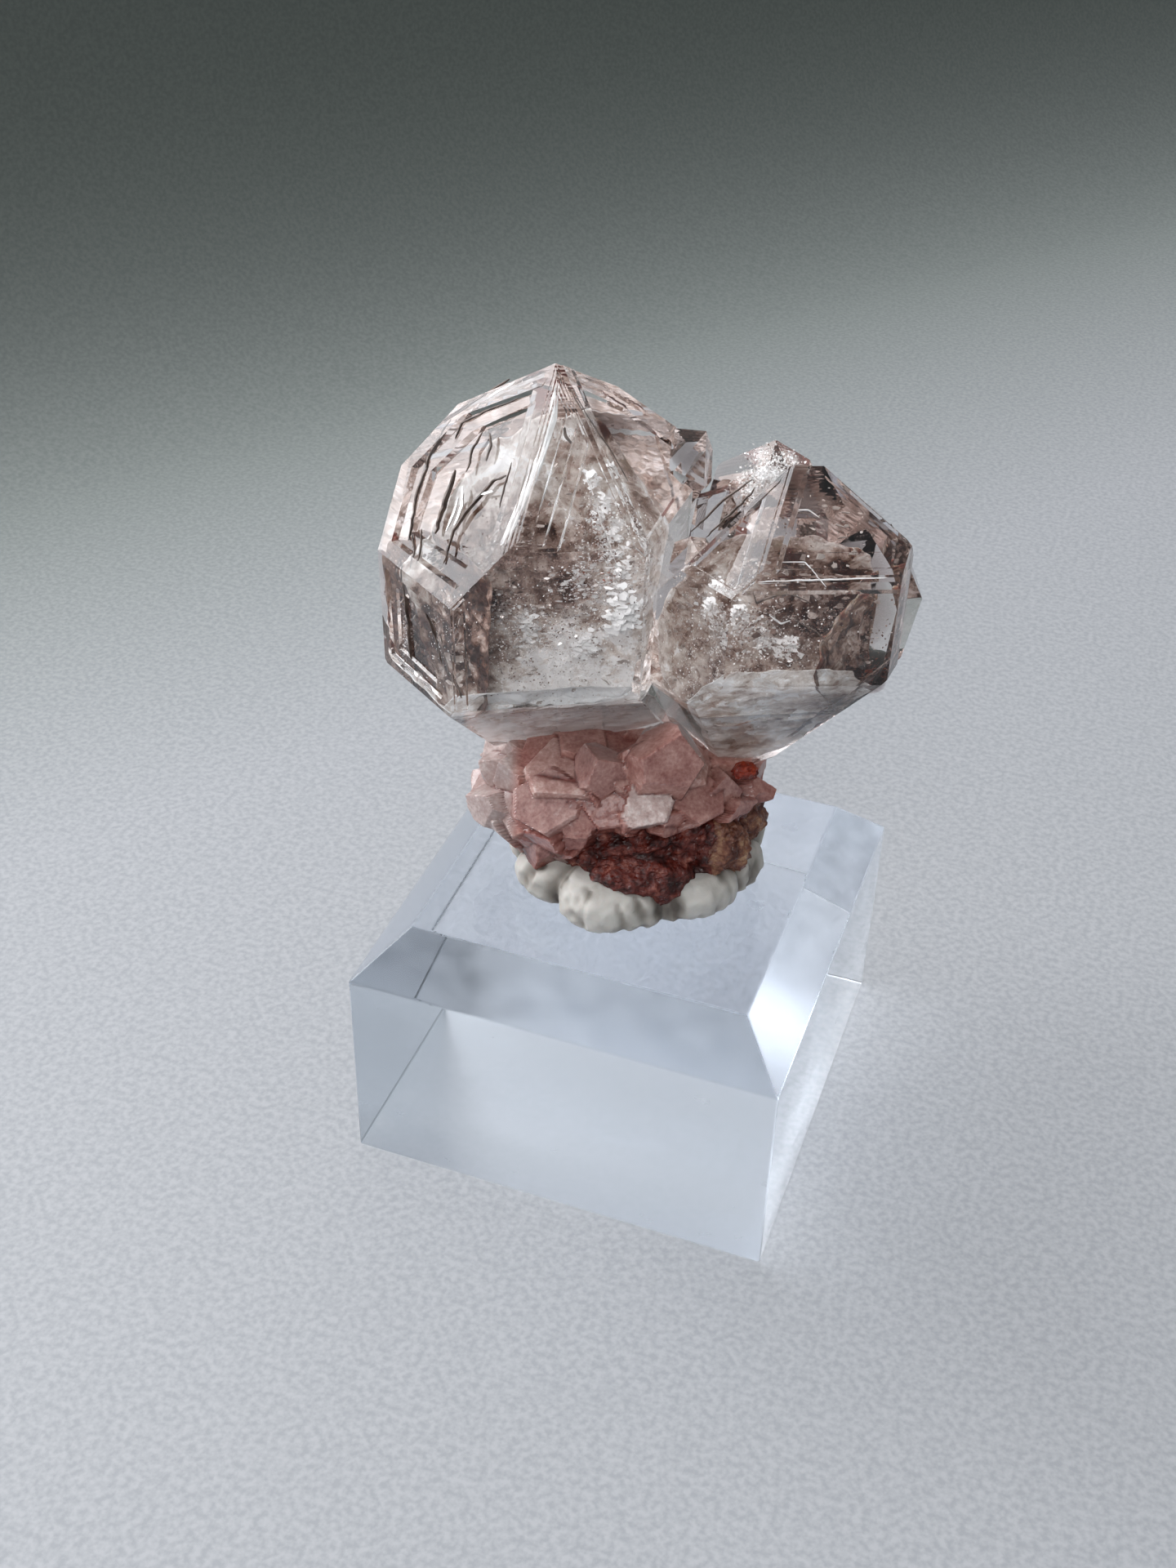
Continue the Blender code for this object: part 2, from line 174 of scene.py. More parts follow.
def absorb(tree: Any, colour: str, density: float) -> None:
    """Fill a material with a plain absorbing volume.

    Args:
        tree: The material's node tree.
        colour: Hex colour that passes.
        density: How dense it is, in 1/m.
    """
    output = next(node for node in tree.nodes if node.type == "OUTPUT_MATERIAL")
    volume = add_node(tree, "VolumeAbsorption", {"Color": linear(colour), "Density": density})
    adjust(tree, output, Volume=volume)


def to_frame(points: Array) -> Array:
    """Turn specimen millimetres by the specimen's turn about Z and make them metres."""
    c, s = math.cos(SPECIMEN_TURN), math.sin(SPECIMEN_TURN)
    return points @ (MM * np.array([[c, s, 0.0], [-s, c, 0.0], [0.0, 0.0, 1.0]]))


def unit(vectors: Array) -> Array:
    """Return vectors divided by their lengths."""
    return vectors / np.maximum(np.linalg.norm(vectors, axis=-1, keepdims=True), 1e-12)


def ripple(points: Array, size: float, seed: int, octaves: int = 3) -> Array:
    """Smooth seeded noise, about -1 to 1.

    Each octave adds sines along random directions, at half the size and half the strength of
    the one before: sum over waves of sin(wave . point + phase).

    Args:
        points: Points, last axis 3, in millimetres.
        size: Size of the largest bumps in millimetres.
        seed: Seed of the random waves.
        octaves: How many sizes are added.

    Returns:
        One number for each point.
    """
    rng = np.random.default_rng(seed)
    total = np.zeros(points.shape[:-1])
    for octave in range(octaves):
        waves = unit(rng.normal(size=(7, 3))) * (2.0 * math.pi * 2**octave / (size * 1.7))
        phases = rng.uniform(0.0, 2.0 * math.pi, 7)
        total += np.sin(points @ waves.T + phases).sum(-1) / (3.2 * 2**octave)
    return total / 1.5


def make_piece(
    name: str,
    shape: Shape,
    material: bpy.types.Material,
    replaces: str | None = None,
    smooth: bool = False,
    values: dict[str, Array] | None = None,
    turned: bool = True,
) -> bpy.types.Object:
    """Put a shape into a mesh that rides on the object's one body.

    Args:
        name: Name of the piece.
        shape: Its corners in millimetres, and rows of corner numbers, which may differ in length.
        material: The piece's finish.
        replaces: The CAD node it stands for, if any.
        smooth: True for smooth shading.
        values: Named numbers, one for each corner, kept as attributes.
        turned: True for corners in the specimen's axes, false for the block's own.

    Returns:
        The piece.
    """
    points, faces = shape
    points = points.reshape(-1, 3)
    points = to_frame(points) if turned else points * MM
    mesh = bpy.data.meshes.new(name)
    mesh.from_pydata(points.tolist(), [], faces.tolist() if isinstance(faces, np.ndarray) else faces)
    for key, numbers in (values or {}).items():
        data = mesh.attributes.new(key, "FLOAT", "POINT").data
        data.foreach_set("value", np.asarray(numbers, np.float32).ravel())
    mesh.polygons.foreach_set("use_smooth", np.full(len(mesh.polygons), smooth))
    mesh.materials.append(material)
    mesh.update()
    piece = bpy.data.objects.new(name, mesh)
    bpy.context.scene.collection.objects.link(piece)
    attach(piece, "root")
    if replaces:
        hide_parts(replaces)
    return piece


def wrap(low: float, high: float, rings: int, sides: int) -> tuple[Array, Array]:
    """Return the grid of a closed tube: a value from low to high by ring, and the turn by side."""
    turns = np.linspace(0.0, 2.0 * math.pi, sides, endpoint=False)
    return tuple(np.meshgrid(np.linspace(low, high, rings), turns, indexing="ij"))


def ball(p: Array, t: Array) -> Array:
    """Return directions (sin p cos t, sin p sin t, -cos p), p from the underside up."""
    return np.stack([np.sin(p) * np.cos(t), np.sin(p) * np.sin(t), -np.cos(p)], -1)


def ring_faces(rings: int, sides: int) -> list[list[int]]:
    """Work out the faces of a closed tube.

    Args:
        rings: How many rings it has.
        sides: Corners of each ring.

    Returns:
        The quads between the rings, then the two end caps as polygons.
    """
    ring, side = np.meshgrid(np.arange(rings - 1), np.arange(sides), indexing="ij")
    here, after = ring * sides + side, ring * sides + (side + 1) % sides
    quads = np.stack([here, after, after + sides, here + sides], -1).reshape(-1, 4)
    start = list(range(sides - 1, -1, -1))
    end = list(range((rings - 1) * sides, rings * sides))
    return quads.tolist() + [start, end]


# Crystal habit


@dataclass(frozen=True)
class Habit:
    """A quartz crystal as planes: distances of its faces from its centre, in millimetres.

    Lean is in degrees, to the right and to the back, and spin turns the faces about the axis.
    """

    centre: tuple[float, float, float]
    lean: tuple[float, float]
    spin: float
    prism: tuple[float, ...]
    tip: tuple[float, ...]
    base: tuple[float, ...]

    def axes(self) -> tuple[Array, Array, Array]:
        """Work out the crystal's own directions.

        Returns:
            The long axis, the front direction across it and the side direction.
        """
        right, back = (math.tan(math.radians(a)) for a in self.lean)
        axis = unit(np.array([right, back, 1.0]))
        front = np.array([0.0, -1.0, 0.0])
        front = unit(front - axis * (front @ axis))
        return axis, front, -np.cross(front, axis)

    def planes(self) -> tuple[Array, Array, list[str]]:
        """Work out the crystal's faces as planes, six of each kind.

        Returns:
            Outward normals, distances from the centre and face names.
        """
        axis, front, side = self.axes()
        turns = math.radians(self.spin) + np.radians(60.0 * np.arange(6))
        out = np.cos(turns)[:, None] * front + np.sin(turns)[:, None] * side
        up, flat = math.cos(TIP_ANGLE), math.sin(TIP_ANGLE)
        normals = np.concatenate([out, axis * up + out * flat, -axis * up + out * flat])
        names = [f"{kind}{k}" for kind in "mtb" for k in range(6)]
        return normals, np.array(self.prism + self.tip + self.base), names

    def face_frame(self, face: str) -> tuple[Array, Array, Array, Array]:
        """Place a frame on a face.

        Args:
            face: The face's name: m, t or b for prism, tip or base, and its number.

        Returns:
            The centre's foot on the face, and the face's normal, up and right directions.
        """
        normals, distances, names = self.planes()
        k = names.index(face)
        axis = self.axes()[0]
        up = unit(axis - normals[k] * (axis @ normals[k]))
        foot = np.array(self.centre) + normals[k] * distances[k]
        return foot, normals[k], up, np.cross(up, normals[k])


LEFT = Habit(
    (-6.5, 0.5, 43.0), (-0.4, -3.1), 8.5,
    (6.8, 8.0, 10.05, 8.3, 9.9, 9.45),
    (10.2, 10.7, 14.1, 10.85, 13.0, 10.0),
    (7.85, 12.7, 13.2, 10.6, 10.6, 10.4),
)
RIGHT = Habit(
    (9.0, -0.5, 43.0), (1.5, 5.5), 8.0,
    (7.65, 8.65, 3.2, 8.2, 11.9, 8.3),
    (9.8, 11.4, 6.5, 4.55, 6.7, 9.35),
    (7.05, 7.6, 7.7, 9.0, 12.0, 9.2),
)


# Finishes


@dataclass(frozen=True)
class NaturalQuartz:
    """Rock quartz with grown faces: glass-clear, lustrous, finely striated across its axis.

    The eye sees clean refraction, sharp glints on the edges and faint steps that bend what
    lies behind. Low down, near the crust, the faces are etched and milky. Real striations are
    0.05 to 0.3 mm apart; they are drawn at 0.6 mm to show.
    """

    ior: float = 1.544
    body_colour: str = "#d9cbc6"
    density: float = 55.0
    striation_mm: float = 0.6
    patch_mm: float = 2.5
    etched_from: float = 38.5
    etched_fully: float = 34.5
    etched_roughness: float = 0.22

    def material(self) -> bpy.types.Material:
        """Build the material.

        Returns:
            The material with its nodes.
        """
        material, tree, shader, place = new_material("natural_clear_quartz")
        patches = add_node(tree, "TexNoise", {"Scale": scale_for(self.patch_mm), "Detail": 2.0}, Vector=place)
        worn = {"From Min": 0.52, "From Max": 0.75, "To Min": 0.0, "To Max": 0.12}
        dull = add_node(tree, "MapRange", worn, Value=patches)
        low, high = self.etched_fully * MM, self.etched_from * MM
        etched = add_node(
            tree,
            "MapRange",
            {"From Min": low, "From Max": high, "To Min": self.etched_roughness, "To Max": 0.0},
            Value=add_node(tree, "SeparateXYZ", Vector=place).outputs["Z"],
        )
        rough = add_node(tree, "Math", {"operation": "ADD"}, _0=dull, _1=etched)
        waves = {"bands_direction": "Z", "Scale": 2.0 * math.pi / (20.0 * self.striation_mm * MM)}
        waves |= {"Distortion": 1.6, "Detail": 2.0, "Detail Scale": 1.5}
        steps = add_node(tree, "TexWave", waves, Vector=place).outputs["Fac"]
        relief = add_node(tree, "Math", {"operation": "MULTIPLY"}, _0=steps, _1=patches)
        bump = add_node(tree, "Bump", {"Strength": 0.12, "Distance": 0.05 * MM}, Height=relief)
        adjust(tree, shader, {**CLEAR, "IOR": self.ior}, Roughness=rough, Normal=bump)
        absorb(tree, self.body_colour, self.density)
        return material


@dataclass(frozen=True)
class SmokyZone:
    """Smoky colour zone inside quartz: the same stone with more brown in it, no surface."""

    name: str
    colour: str
    density: float

    def material(self) -> bpy.types.Material:
        """Build the material.

        Returns:
            The material with its nodes.
        """
        material, tree, shader, _place = new_material(self.name)
        adjust(tree, shader, {**CLEAR, "IOR": 1.0, "Roughness": 0.0})
        absorb(tree, self.colour, self.density)
        return material


@dataclass(frozen=True)
class Inclusion:
    """Flakes, films and fluid-filled cracks in quartz: thin, pearly or dark, broken in tone."""

    name: str
    pale: str
    deep: str
    metallic: float
    roughness: float
    grain_mm: float = 0.8

    def material(self) -> bpy.types.Material:
        """Build the material.

        Returns:
            The material with its nodes.
        """
        material, tree, shader, place = new_material(self.name)
        tone = add_node(tree, "TexNoise", {"Scale": scale_for(self.grain_mm), "Detail": 3.0}, Vector=place)
        colour = colour_steps(tree, tone, [(0.32, self.deep), (0.6, self.pale)])
        smooth, dull = self.roughness * 0.6, self.roughness * 1.6
        rough = add_node(tree, "MapRange", {"To Min": smooth, "To Max": dull}, Value=tone)
        adjust(tree, shader, {"Metallic": self.metallic}, Base_Color=colour, Roughness=rough)
        return material


@dataclass(frozen=True)
class HealedVeil:
    """Healed cracks and phantoms in quartz: crumpled, cloudy sheets of small shiny platelets.

    The attribute tone runs from smoky brown (0) over clouded grey to open, glittering white
    (1). Each platelet has its own tone, and about one in ten is painted whiter as a glint;
    wisps are about 1.5 mm wide, streaks 0.4 mm wide and three times as long, platelets 1 mm
    and the silk on them is drawn at 0.15 mm.
    """

    wisp_mm: float = 1.5
    streak_mm: float = 0.4
    platelet_mm: float = 1.0
    silk_mm: float = 0.15
    bend_mm: float = 1.2

    def material(self) -> bpy.types.Material:
        """Build the material.

        Returns:
            The material with its nodes.
        """
        material, tree, shader, place = new_material("healed_quartz_veil")
        tone = add_node(tree, "Attribute", {"attribute_name": "tone"}).outputs["Fac"]
        wisps = {"Scale": scale_for(self.wisp_mm), "Detail": 5.0, "Roughness": 0.65, "Distortion": 1.4}
        wisp = add_node(tree, "TexNoise", wisps, Vector=place)
        bend = {"operation": "MULTIPLY_ADD", 1: (self.bend_mm * MM,) * 3}
        bent = add_node(tree, "VectorMath", bend, _0=wisp.outputs["Color"], _2=place)
        platelet = add_node(tree, "TexVoronoi", {"Scale": scale_for(self.platelet_mm)}, Vector=bent)
        lot = add_node(tree, "SeparateColor", Color=platelet.outputs["Color"])
        silk = add_node(tree, "TexNoise", {"Scale": scale_for(self.silk_mm), "Detail": 2.0}, Vector=place)
        pull = {"Rotation": (0.3, 0.75, 0.2), "Scale": (0.3, 1.0, 1.0)}
        slant = add_node(tree, "Mapping", pull, Vector=bent)
        streaks = {"Scale": scale_for(self.streak_mm), "Detail": 3.0, "Roughness": 0.6}
        streak = add_node(tree, "TexNoise", streaks, Vector=slant)
        level = tone
        for source, strength in ((wisp, 0.95), (streak, 0.75), (lot.outputs["Red"], 0.24), (silk, 0.1)):
            centred = {"operation": "MULTIPLY_ADD", 1: strength, 2: -0.5 * strength}
            part = add_node(tree, "Math", centred, _0=source)
            level = add_node(tree, "Math", {"operation": "ADD"}, _0=level, _1=part)
        # Painted glints: about one platelet in ten is painted up to white, more where the tone is high, as
        # flashes of light.
        painted_glint_range = {"From Min": 0.86, "From Max": 0.97, "To Min": -0.05, "To Max": 0.4}
        glint = add_node(tree, "MapRange", painted_glint_range, Value=lot.outputs["Green"])
        painted_glint_tone = add_node(tree, "Math", {"operation": "MULTIPLY"}, _0=glint, _1=tone)
        level = add_node(tree, "Math", {"operation": "ADD"}, _0=level, _1=painted_glint_tone)
        steps = [(0.0, "#2a130e"), (0.2, "#624539"), (0.36, "#988379")]
        steps += [(0.52, "#bcb0a8"), (0.7, "#dcd4ce"), (0.88, "#ffffff")]
        rough = add_node(tree, "MapRange", {"To Min": 0.1, "To Max": 0.55}, Value=lot.outputs["Blue"])
        height = {"operation": "MULTIPLY_ADD", 1: 0.6}
        relief = add_node(tree, "Math", height, _0=platelet.outputs["Distance"], _2=wisp)
        bump = add_node(tree, "Bump", {"Strength": 0.9, "Distance": 0.14 * MM}, Height=relief)
        settings = {"Subsurface Weight": 0.35, "Subsurface Radius": (1.0, 0.92, 0.86)}
        settings |= {"Subsurface Scale": 0.5 * MM, "Coat Weight": 0.6, "Coat Roughness": 0.08}
        colour = colour_steps(tree, level, steps)
        adjust(tree, shader, settings, Base_Color=colour, Roughness=rough, Normal=bump)
        return material


@dataclass(frozen=True)
class PinkDruse:
    """Pink quartz crust: cloudy rose stone with sugary, faintly wet faces and dark red sutures.

    Attributes of the skin: suture is 1 in the creases where crystals meet, tint turns a
    crystal from rose (0) to pale grey (1) and also carries painted shade, greying the crust's
    top under the clear crystals, stain is 1 where iron has reddened it, and rise lightens the
    highest faces and each crystal by its own share. Clouds in the stone are about 1.3 mm
    wide, and the sugary grain about 0.25 mm.
    """

    cloud_mm: float = 1.3
    grain_mm: float = 0.25
    rose: tuple[str, ...] = ("#612820", "#8c4c43", "#a97065", "#c59488", "#e6cec6")
    pale: tuple[str, ...] = ("#6d4f49", "#94807b", "#aa9d99", "#d9d1ce")
    iron: tuple[str, ...] = ("#2a0704", "#571a12", "#7c372b", "#a86a55")
    seam: tuple[str, ...] = ("#45150f", "#7a352b")

    def material(self) -> bpy.types.Material:
        """Build the material.

        Returns:
            The material with its nodes.
        """
        material, tree, shader, place = new_material("pink_hematite_quartz")
        suture, tint, stain, rise = (
            add_node(tree, "Attribute", {"attribute_name": name}).outputs["Fac"]
            for name in ("suture", "tint", "stain", "rise")
        )
        clouds = {"Scale": scale_for(self.cloud_mm), "Detail": 6.0, "Roughness": 0.7}
        cloud = add_node(tree, "TexNoise", clouds, Vector=place)
        grain = add_node(tree, "TexNoise", {"Scale": scale_for(self.grain_mm), "Detail": 3.0}, Vector=place)
        height = add_node(tree, "Math", {"operation": "MULTIPLY", 1: 0.22}, _0=rise)
        for source, strength, lift in ((cloud, 1.1, -0.2), (grain, 0.6, -0.3)):
            part = add_node(tree, "Math", {"operation": "MULTIPLY_ADD", 1: strength, 2: lift}, _0=source)
            height = add_node(tree, "Math", {"operation": "ADD"}, _0=height, _1=part)
        colour = colour_steps(tree, height, list(zip((0.05, 0.28, 0.5, 0.75, 1.0), self.rose)))
        # The pale steps colour the grey crystals, and also the painted shade on the crust's top under the
        # clear crystals.
        for share, factor, places, tones in (
            (tint, height, (0.05, 0.3, 0.6, 1.0), self.pale),
            (stain, height, (0.1, 0.4, 0.6, 0.9), self.iron),
            (suture, grain, (0.3, 0.7), self.seam),
        ):
            other = colour_steps(tree, factor, list(zip(places, tones)))
            mixed = add_node(tree, "Mix", {"data_type": "RGBA"}, Factor=share, _6=colour, _7=other)
            colour = mixed.outputs[2]
        rough = add_node(tree, "MapRange", {"To Min": 0.2, "To Max": 0.6}, Value=grain)
        bump = add_node(tree, "Bump", {"Strength": 0.4, "Distance": 0.08 * MM}, Height=grain)
        settings = {"Subsurface Weight": 0.25, "Subsurface Radius": (1.0, 0.5, 0.45)}
        settings |= {"Subsurface Scale": 0.6 * MM, "Coat Weight": 0.6, "Coat Roughness": 0.12}
        adjust(tree, shader, settings, Base_Color=colour, Roughness=rough, Normal=bump)
        return material


class Stain(Enum):
    """How the iron has stained a lump of matrix: colour steps from its darkest to its palest clots."""

    OXBLOOD = ("#160302", "#380b06", "#5e1e14", "#854a3d", "#b58a78")
    GOLDEN = ("#2a0f09", "#55291d", "#7c4f3c", "#a07a5c", "#c7a98a")
    HEMATITE = ("#2e0803", "#5c1609", "#86260e", "#a83c16", "#cf7340")


@dataclass(frozen=True)
class IronMatrix:
    """Broken iron-stained matrix: grainy, ox-blood red to golden brown, dull with glints."""

    stain: Stain
    clot_mm: float = 1.1
    grain_mm: float = 0.4

    def material(self) -> bpy.types.Material:
        """Build the material.

        Returns:
            The material with its nodes.
        """
        material, tree, shader, place = new_material(f"{self.stain.name.lower()}_iron_matrix")
        clots = {"Scale": scale_for(self.clot_mm), "Detail": 6.0, "Roughness": 0.7}
        clot = add_node(tree, "TexNoise", clots, Vector=place)
        colour = colour_steps(tree, clot, list(zip((0.3, 0.43, 0.54, 0.64, 0.76), self.stain.value)))
        grains = add_node(tree, "TexVoronoi", {"Scale": scale_for(self.grain_mm)}, Vector=place)
        rough = add_node(tree, "MapRange", {"To Min": 0.2, "To Max": 0.75}, Value=grains)
        bump = add_node(tree, "Bump", {"Strength": 0.7, "Distance": 0.14 * MM}, Height=grains)
        adjust(tree, shader, Base_Color=colour, Roughness=rough, Normal=bump)
        return material


@dataclass(frozen=True)
class KneadedTack:
    """Mineral tack: kneaded off-white putty, matte with a faint sheen and grey in its folds.

    The attribute crease is 1 in the folds and 0 on the lobes.
    """

    blotch_mm: float = 1.8
    pit_mm: float = 0.3

    def material(self) -> bpy.types.Material:
        """Build the material.

        Returns:
            The material with its nodes.
        """
        material, tree, shader, place = new_material("kneaded_mineral_tack")
        crease = add_node(tree, "Attribute", {"attribute_name": "crease"}).outputs["Fac"]
        blotch = add_node(tree, "TexNoise", {"Scale": scale_for(self.blotch_mm), "Detail": 4.0}, Vector=place)
        depth = add_node(tree, "Math", {"operation": "MULTIPLY_ADD", 1: 0.5}, _0=blotch, _2=crease)
        steps = [(0.1, "#d6d2cc"), (0.35, "#bdb8b1"), (0.65, "#8f8880"), (0.95, "#5f5750")]
        colour = colour_steps(tree, depth, steps)
        pits = add_node(tree, "TexNoise", {"Scale": scale_for(self.pit_mm), "Detail": 3.0}, Vector=place)
        rough = add_node(tree, "MapRange", {"To Min": 0.5, "To Max": 0.75}, Value=pits)
        bump = add_node(tree, "Bump", {"Strength": 0.35, "Distance": 0.08 * MM}, Height=pits)
        settings = {"Subsurface Weight": 0.1, "Subsurface Scale": 0.6 * MM}
        adjust(tree, shader, settings, Base_Color=colour, Roughness=rough, Normal=bump)
        return material


@dataclass(frozen=True)
class CastAcrylic:
    """Cast acrylic of the block: clear, faintly blue where it is thick."""

    ior: float = 1.491
    tint: str = "#c8d8ea"
    density: float = 18.0

    def polished(self) -> bpy.types.Material:
        """Build flame and wheel polished acrylic, with soft polishing waves about 6 mm wide."""
        return self.surface("polished_cast_acrylic", 6.0, 2.0, (0.01, 0.06), 0.05)

    def rubbed(self) -> bpy.types.Material:
        """Build the underside's, rubbed dull by standing, so it scatters what it mirrors."""
        return self.surface("rubbed_acrylic_underside", 3.0, 4.0, (0.192, 0.448), 0.0)

    def surface(
        self, name: str, haze_mm: float, detail: float, roughness: tuple[float, float], waves: float
    ) -> bpy.types.Material:
        """Build one of the block's finishes.

        Args:
            name: The finish's name.
            haze_mm: Width of its duller patches.
            detail: Detail of their noise.
            roughness: Roughness outside and inside the patches.
            waves: Strength of the polishing waves, none if zero.

        Returns:
            The material.
        """
        material, tree, shader, place = new_material(name)
        haze = add_node(tree, "TexNoise", {"Scale": scale_for(haze_mm), "Detail": detail}, Vector=place)
        rough = add_node(tree, "MapRange", {"To Min": roughness[0], "To Max": roughness[1]}, Value=haze)
        adjust(tree, shader, {**CLEAR, "IOR": self.ior}, Roughness=rough)
        if waves:
            bump = add_node(tree, "Bump", {"Strength": waves, "Distance": 0.3 * MM}, Height=haze)
            adjust(tree, shader, Normal=bump)
        absorb(tree, self.tint, self.density)
        return material


# Small solids inside the crystals


def square_to(normals: Array) -> tuple[Array, Array]:
    """Find two directions across each normal.

    Args:
        normals: Unit normals, shape (n, 3).

    Returns:
        Two unit directions square to each normal and to each other.
    """
    helper = np.where(np.abs(normals[:, 2:3]) < 0.9, [[0.0, 0.0, 1.0]], [[1.0, 0.0, 0.0]])
    first = unit(np.cross(normals, helper))
    return first, np.cross(normals, first)


def shards(centres: Array, normals: Array, sizes: Array, rng: np.random.Generator) -> Shape:
    """Make thin flat flakes, each a five-cornered plate.

    A corner is centre + size * share * (cos a * e1 + sin a * e2) +- thickness / 2 * normal,
    with the angle a stepped by a fifth turn and jittered, and share random.

    Args:
        centres: Flake centres in millimetres, shape (n, 3).
        normals: Flake normals, shape (n, 3).
        sizes: Flake radii in millimetres, shape (n,).
        rng: Random numbers.

    Returns:
        Corners in specimen millimetres, and faces.
    """
    count, thickness = len(centres), 0.03
    normals = unit(normals)
    first, second = square_to(normals)
    angles = 2.0 * math.pi * (np.arange(5) + rng.uniform(-0.3, 0.3, (count, 5))) / 5.0
    reach = sizes[:, None] * rng.uniform(0.45, 1.0, (count, 5))
    stretch = rng.uniform(0.25, 0.8, (count, 1))
    flat = (
        centres[:, None]
        + (reach * np.cos(angles))[..., None] * first[:, None]
        + (reach * stretch * np.sin(angles))[..., None] * second[:, None]
    )
    offset = 0.5 * thickness * normals[:, None]
    points = np.concatenate([flat - offset, flat + offset], 1).reshape(-1, 3)
    walls = [[k, (k + 1) % 5, (k + 1) % 5 + 5, k + 5] for k in range(5)]
    pattern = [[4, 3, 2, 1, 0], [5, 6, 7, 8, 9]] + walls
    return points, [[10 * n + c for c in row] for n in range(count) for row in pattern]


def specks(centres: Array, sizes: Array, rng: np.random.Generator) -> Shape:
    """Make tiny flat grains, each a squashed tetrahedron turned at random.

    A corner is centre + size * (a e1 + b e2 + 0.3 c e3), where (a, b, c) are the corners of a
    regular tetrahedron and e1, e2, e3 a random frame.

    Args:
        centres: Grain centres in millimetres, shape (n, 3).
        sizes: Grain radii in millimetres, shape (n,).
        rng: Random numbers.

    Returns:
        Corners in specimen millimetres, and triangles.
    """
    count = len(centres)
    corner = np.array([[1.0, 1.0, 1.0], [-1.0, -1.0, 1.0], [-1.0, 1.0, -1.0], [1.0, -1.0, -1.0]]) / 1.8
    first = unit(rng.normal(size=(count, 3)))
    second = unit(np.cross(first, unit(rng.normal(size=(count, 3)))))
    third = np.cross(first, second)
    frame = np.stack([first, second, 0.3 * third], 1)
    points = centres[:, None] + sizes[:, None, None] * np.einsum("kc,ncd->nkd", corner, frame)
    triangles = np.array([[0, 1, 2], [0, 3, 1], [0, 2, 3], [1, 3, 2]])
    faces = (4 * np.arange(count)[:, None, None] + triangles).reshape(-1, 3)
    return points.reshape(-1, 3), faces


def blade(path: Array, inward: Array, width: float, depth: float) -> Shape:
    """Make one crack or growth line: a thin wall that runs along a path and reaches inwards.

    A ring holds path +- width * taper * side, and the same at path + depth * taper * inward at
    a third of the width, where side is across the path and taper is sin(pi * share) ** 0.5.

    Args:
        path: Points on the crystal's skin in millimetres, shape (n, 3).
        inward: Unit direction into the crystal.
        width: Half width at the outer edge.
        depth: How far the wall reaches in.

    Returns:
        Corners and faces.
    """
    tangent = unit(np.gradient(path, axis=0))
    side = unit(np.cross(tangent, inward))
    taper = np.sin(math.pi * np.linspace(0.03, 0.97, len(path)))[:, None] ** 0.5
    outer, inner = width * taper * side, 0.3 * width * taper * side
    foot = path + depth * taper * inward
    ring = np.stack([path - outer, path + outer, foot + inner, foot - inner], 1)
    return ring.reshape(-1, 3), ring_faces(len(path), 4)


def smooth_path(points: Array, steps: int) -> Array:
    """Run a path through points, each coordinate eased between them by cosine blending.

    Args:
        points: The points, one to a row.
        steps: How many points the path has.

    Returns:
        The path.
    """
    share = np.linspace(0.0, len(points) - 1.0, steps)
    low = np.minimum(share.astype(int), len(points) - 2)
    blend = (0.5 - 0.5 * np.cos(math.pi * (share - low)))[:, None] * 0.5 + 0.5 * (share - low)[:, None]
    return points[low] * (1.0 - blend) + points[low + 1] * blend


def blob(
    centre: tuple[float, float, float],
    radii: tuple[float, float, float],
    roughness: float,
    seed: int,
    rings: int = 24,
    sides: int = 36,
) -> Shape:
    """Make a lumpy closed ball.

    A point is centre + radii * (1 + roughness * noise) * (sin p cos t, sin p sin t, -cos p),
    with p from near 0 to near pi and t around.

    Args:
        centre: Middle in specimen millimetres.
        radii: Half sizes along u, v and z.
        roughness: Share of the radius by which the surface wanders.
        seed: Seed of the noise.
        rings: Rings from pole to pole.
        sides: Corners of each ring.

    Returns:
        Corners and faces.
    """
    direction = ball(*wrap(0.06, math.pi - 0.06, rings, sides))
    bumps = 1.0 + roughness * ripple(direction * 3.0, 2.4, seed)
    points = np.array(centre) + direction * np.array(radii) * bumps[..., None]
    return points.reshape(-1, 3), ring_faces(rings, sides)


def join(parts: list[Shape]) -> Shape:
    """Join shapes into one.

    Args:
        parts: The shapes.

    Returns:
        All corners, and all faces with their numbers moved on.
    """
    points, faces, base = [], [], 0
    for corners, rows in parts:
        points.append(corners)
        faces += [[base + c for c in row] for row in rows]
        base += len(corners)
    return np.concatenate(points), faces


# The clear crystals


@dataclass(frozen=True)
class Veil:
    """A sheet of flakes: a healed crack, bowed a little, with flakes scattered over it."""

    centre: tuple[float, float, float]
    along: tuple[float, float, float]
    across: tuple[float, float, float]
    count: int
    smallest: float
    largest: float
    scatter: float = 0.5
    bow: float = 0.6
    even: bool = False

    def flakes(self, rng: np.random.Generator) -> tuple[Array, Array, Array]:
        """Scatter the flakes at centre + a * along + b * across + bow * (a^2 - b^2) * normal.

        Args:
            rng: Random numbers.

        Returns:
            Centres, normals and sizes.
        """
        a, b = np.clip(rng.normal(0.0, 0.42, (2, self.count)), -1.0, 1.0)
        if self.even:
            a, b = rng.uniform(-1.0, 1.0, (2, self.count))
        along, across = np.array(self.along), np.array(self.across)
        normal = unit(np.cross(along, across))
        centres = (
            np.array(self.centre)
            + a[:, None] * along
            + b[:, None] * across
            + (self.bow * (a * a - b * b) + self.scatter * rng.normal(0.0, 0.5, self.count))[:, None] * normal
        )
        normals = unit(normal + rng.normal(0.0, 0.45, (self.count, 3)))
        share = rng.uniform(0.0, 1.0, self.count) ** 3
        return centres, normals, self.smallest + (self.largest - self.smallest) * share


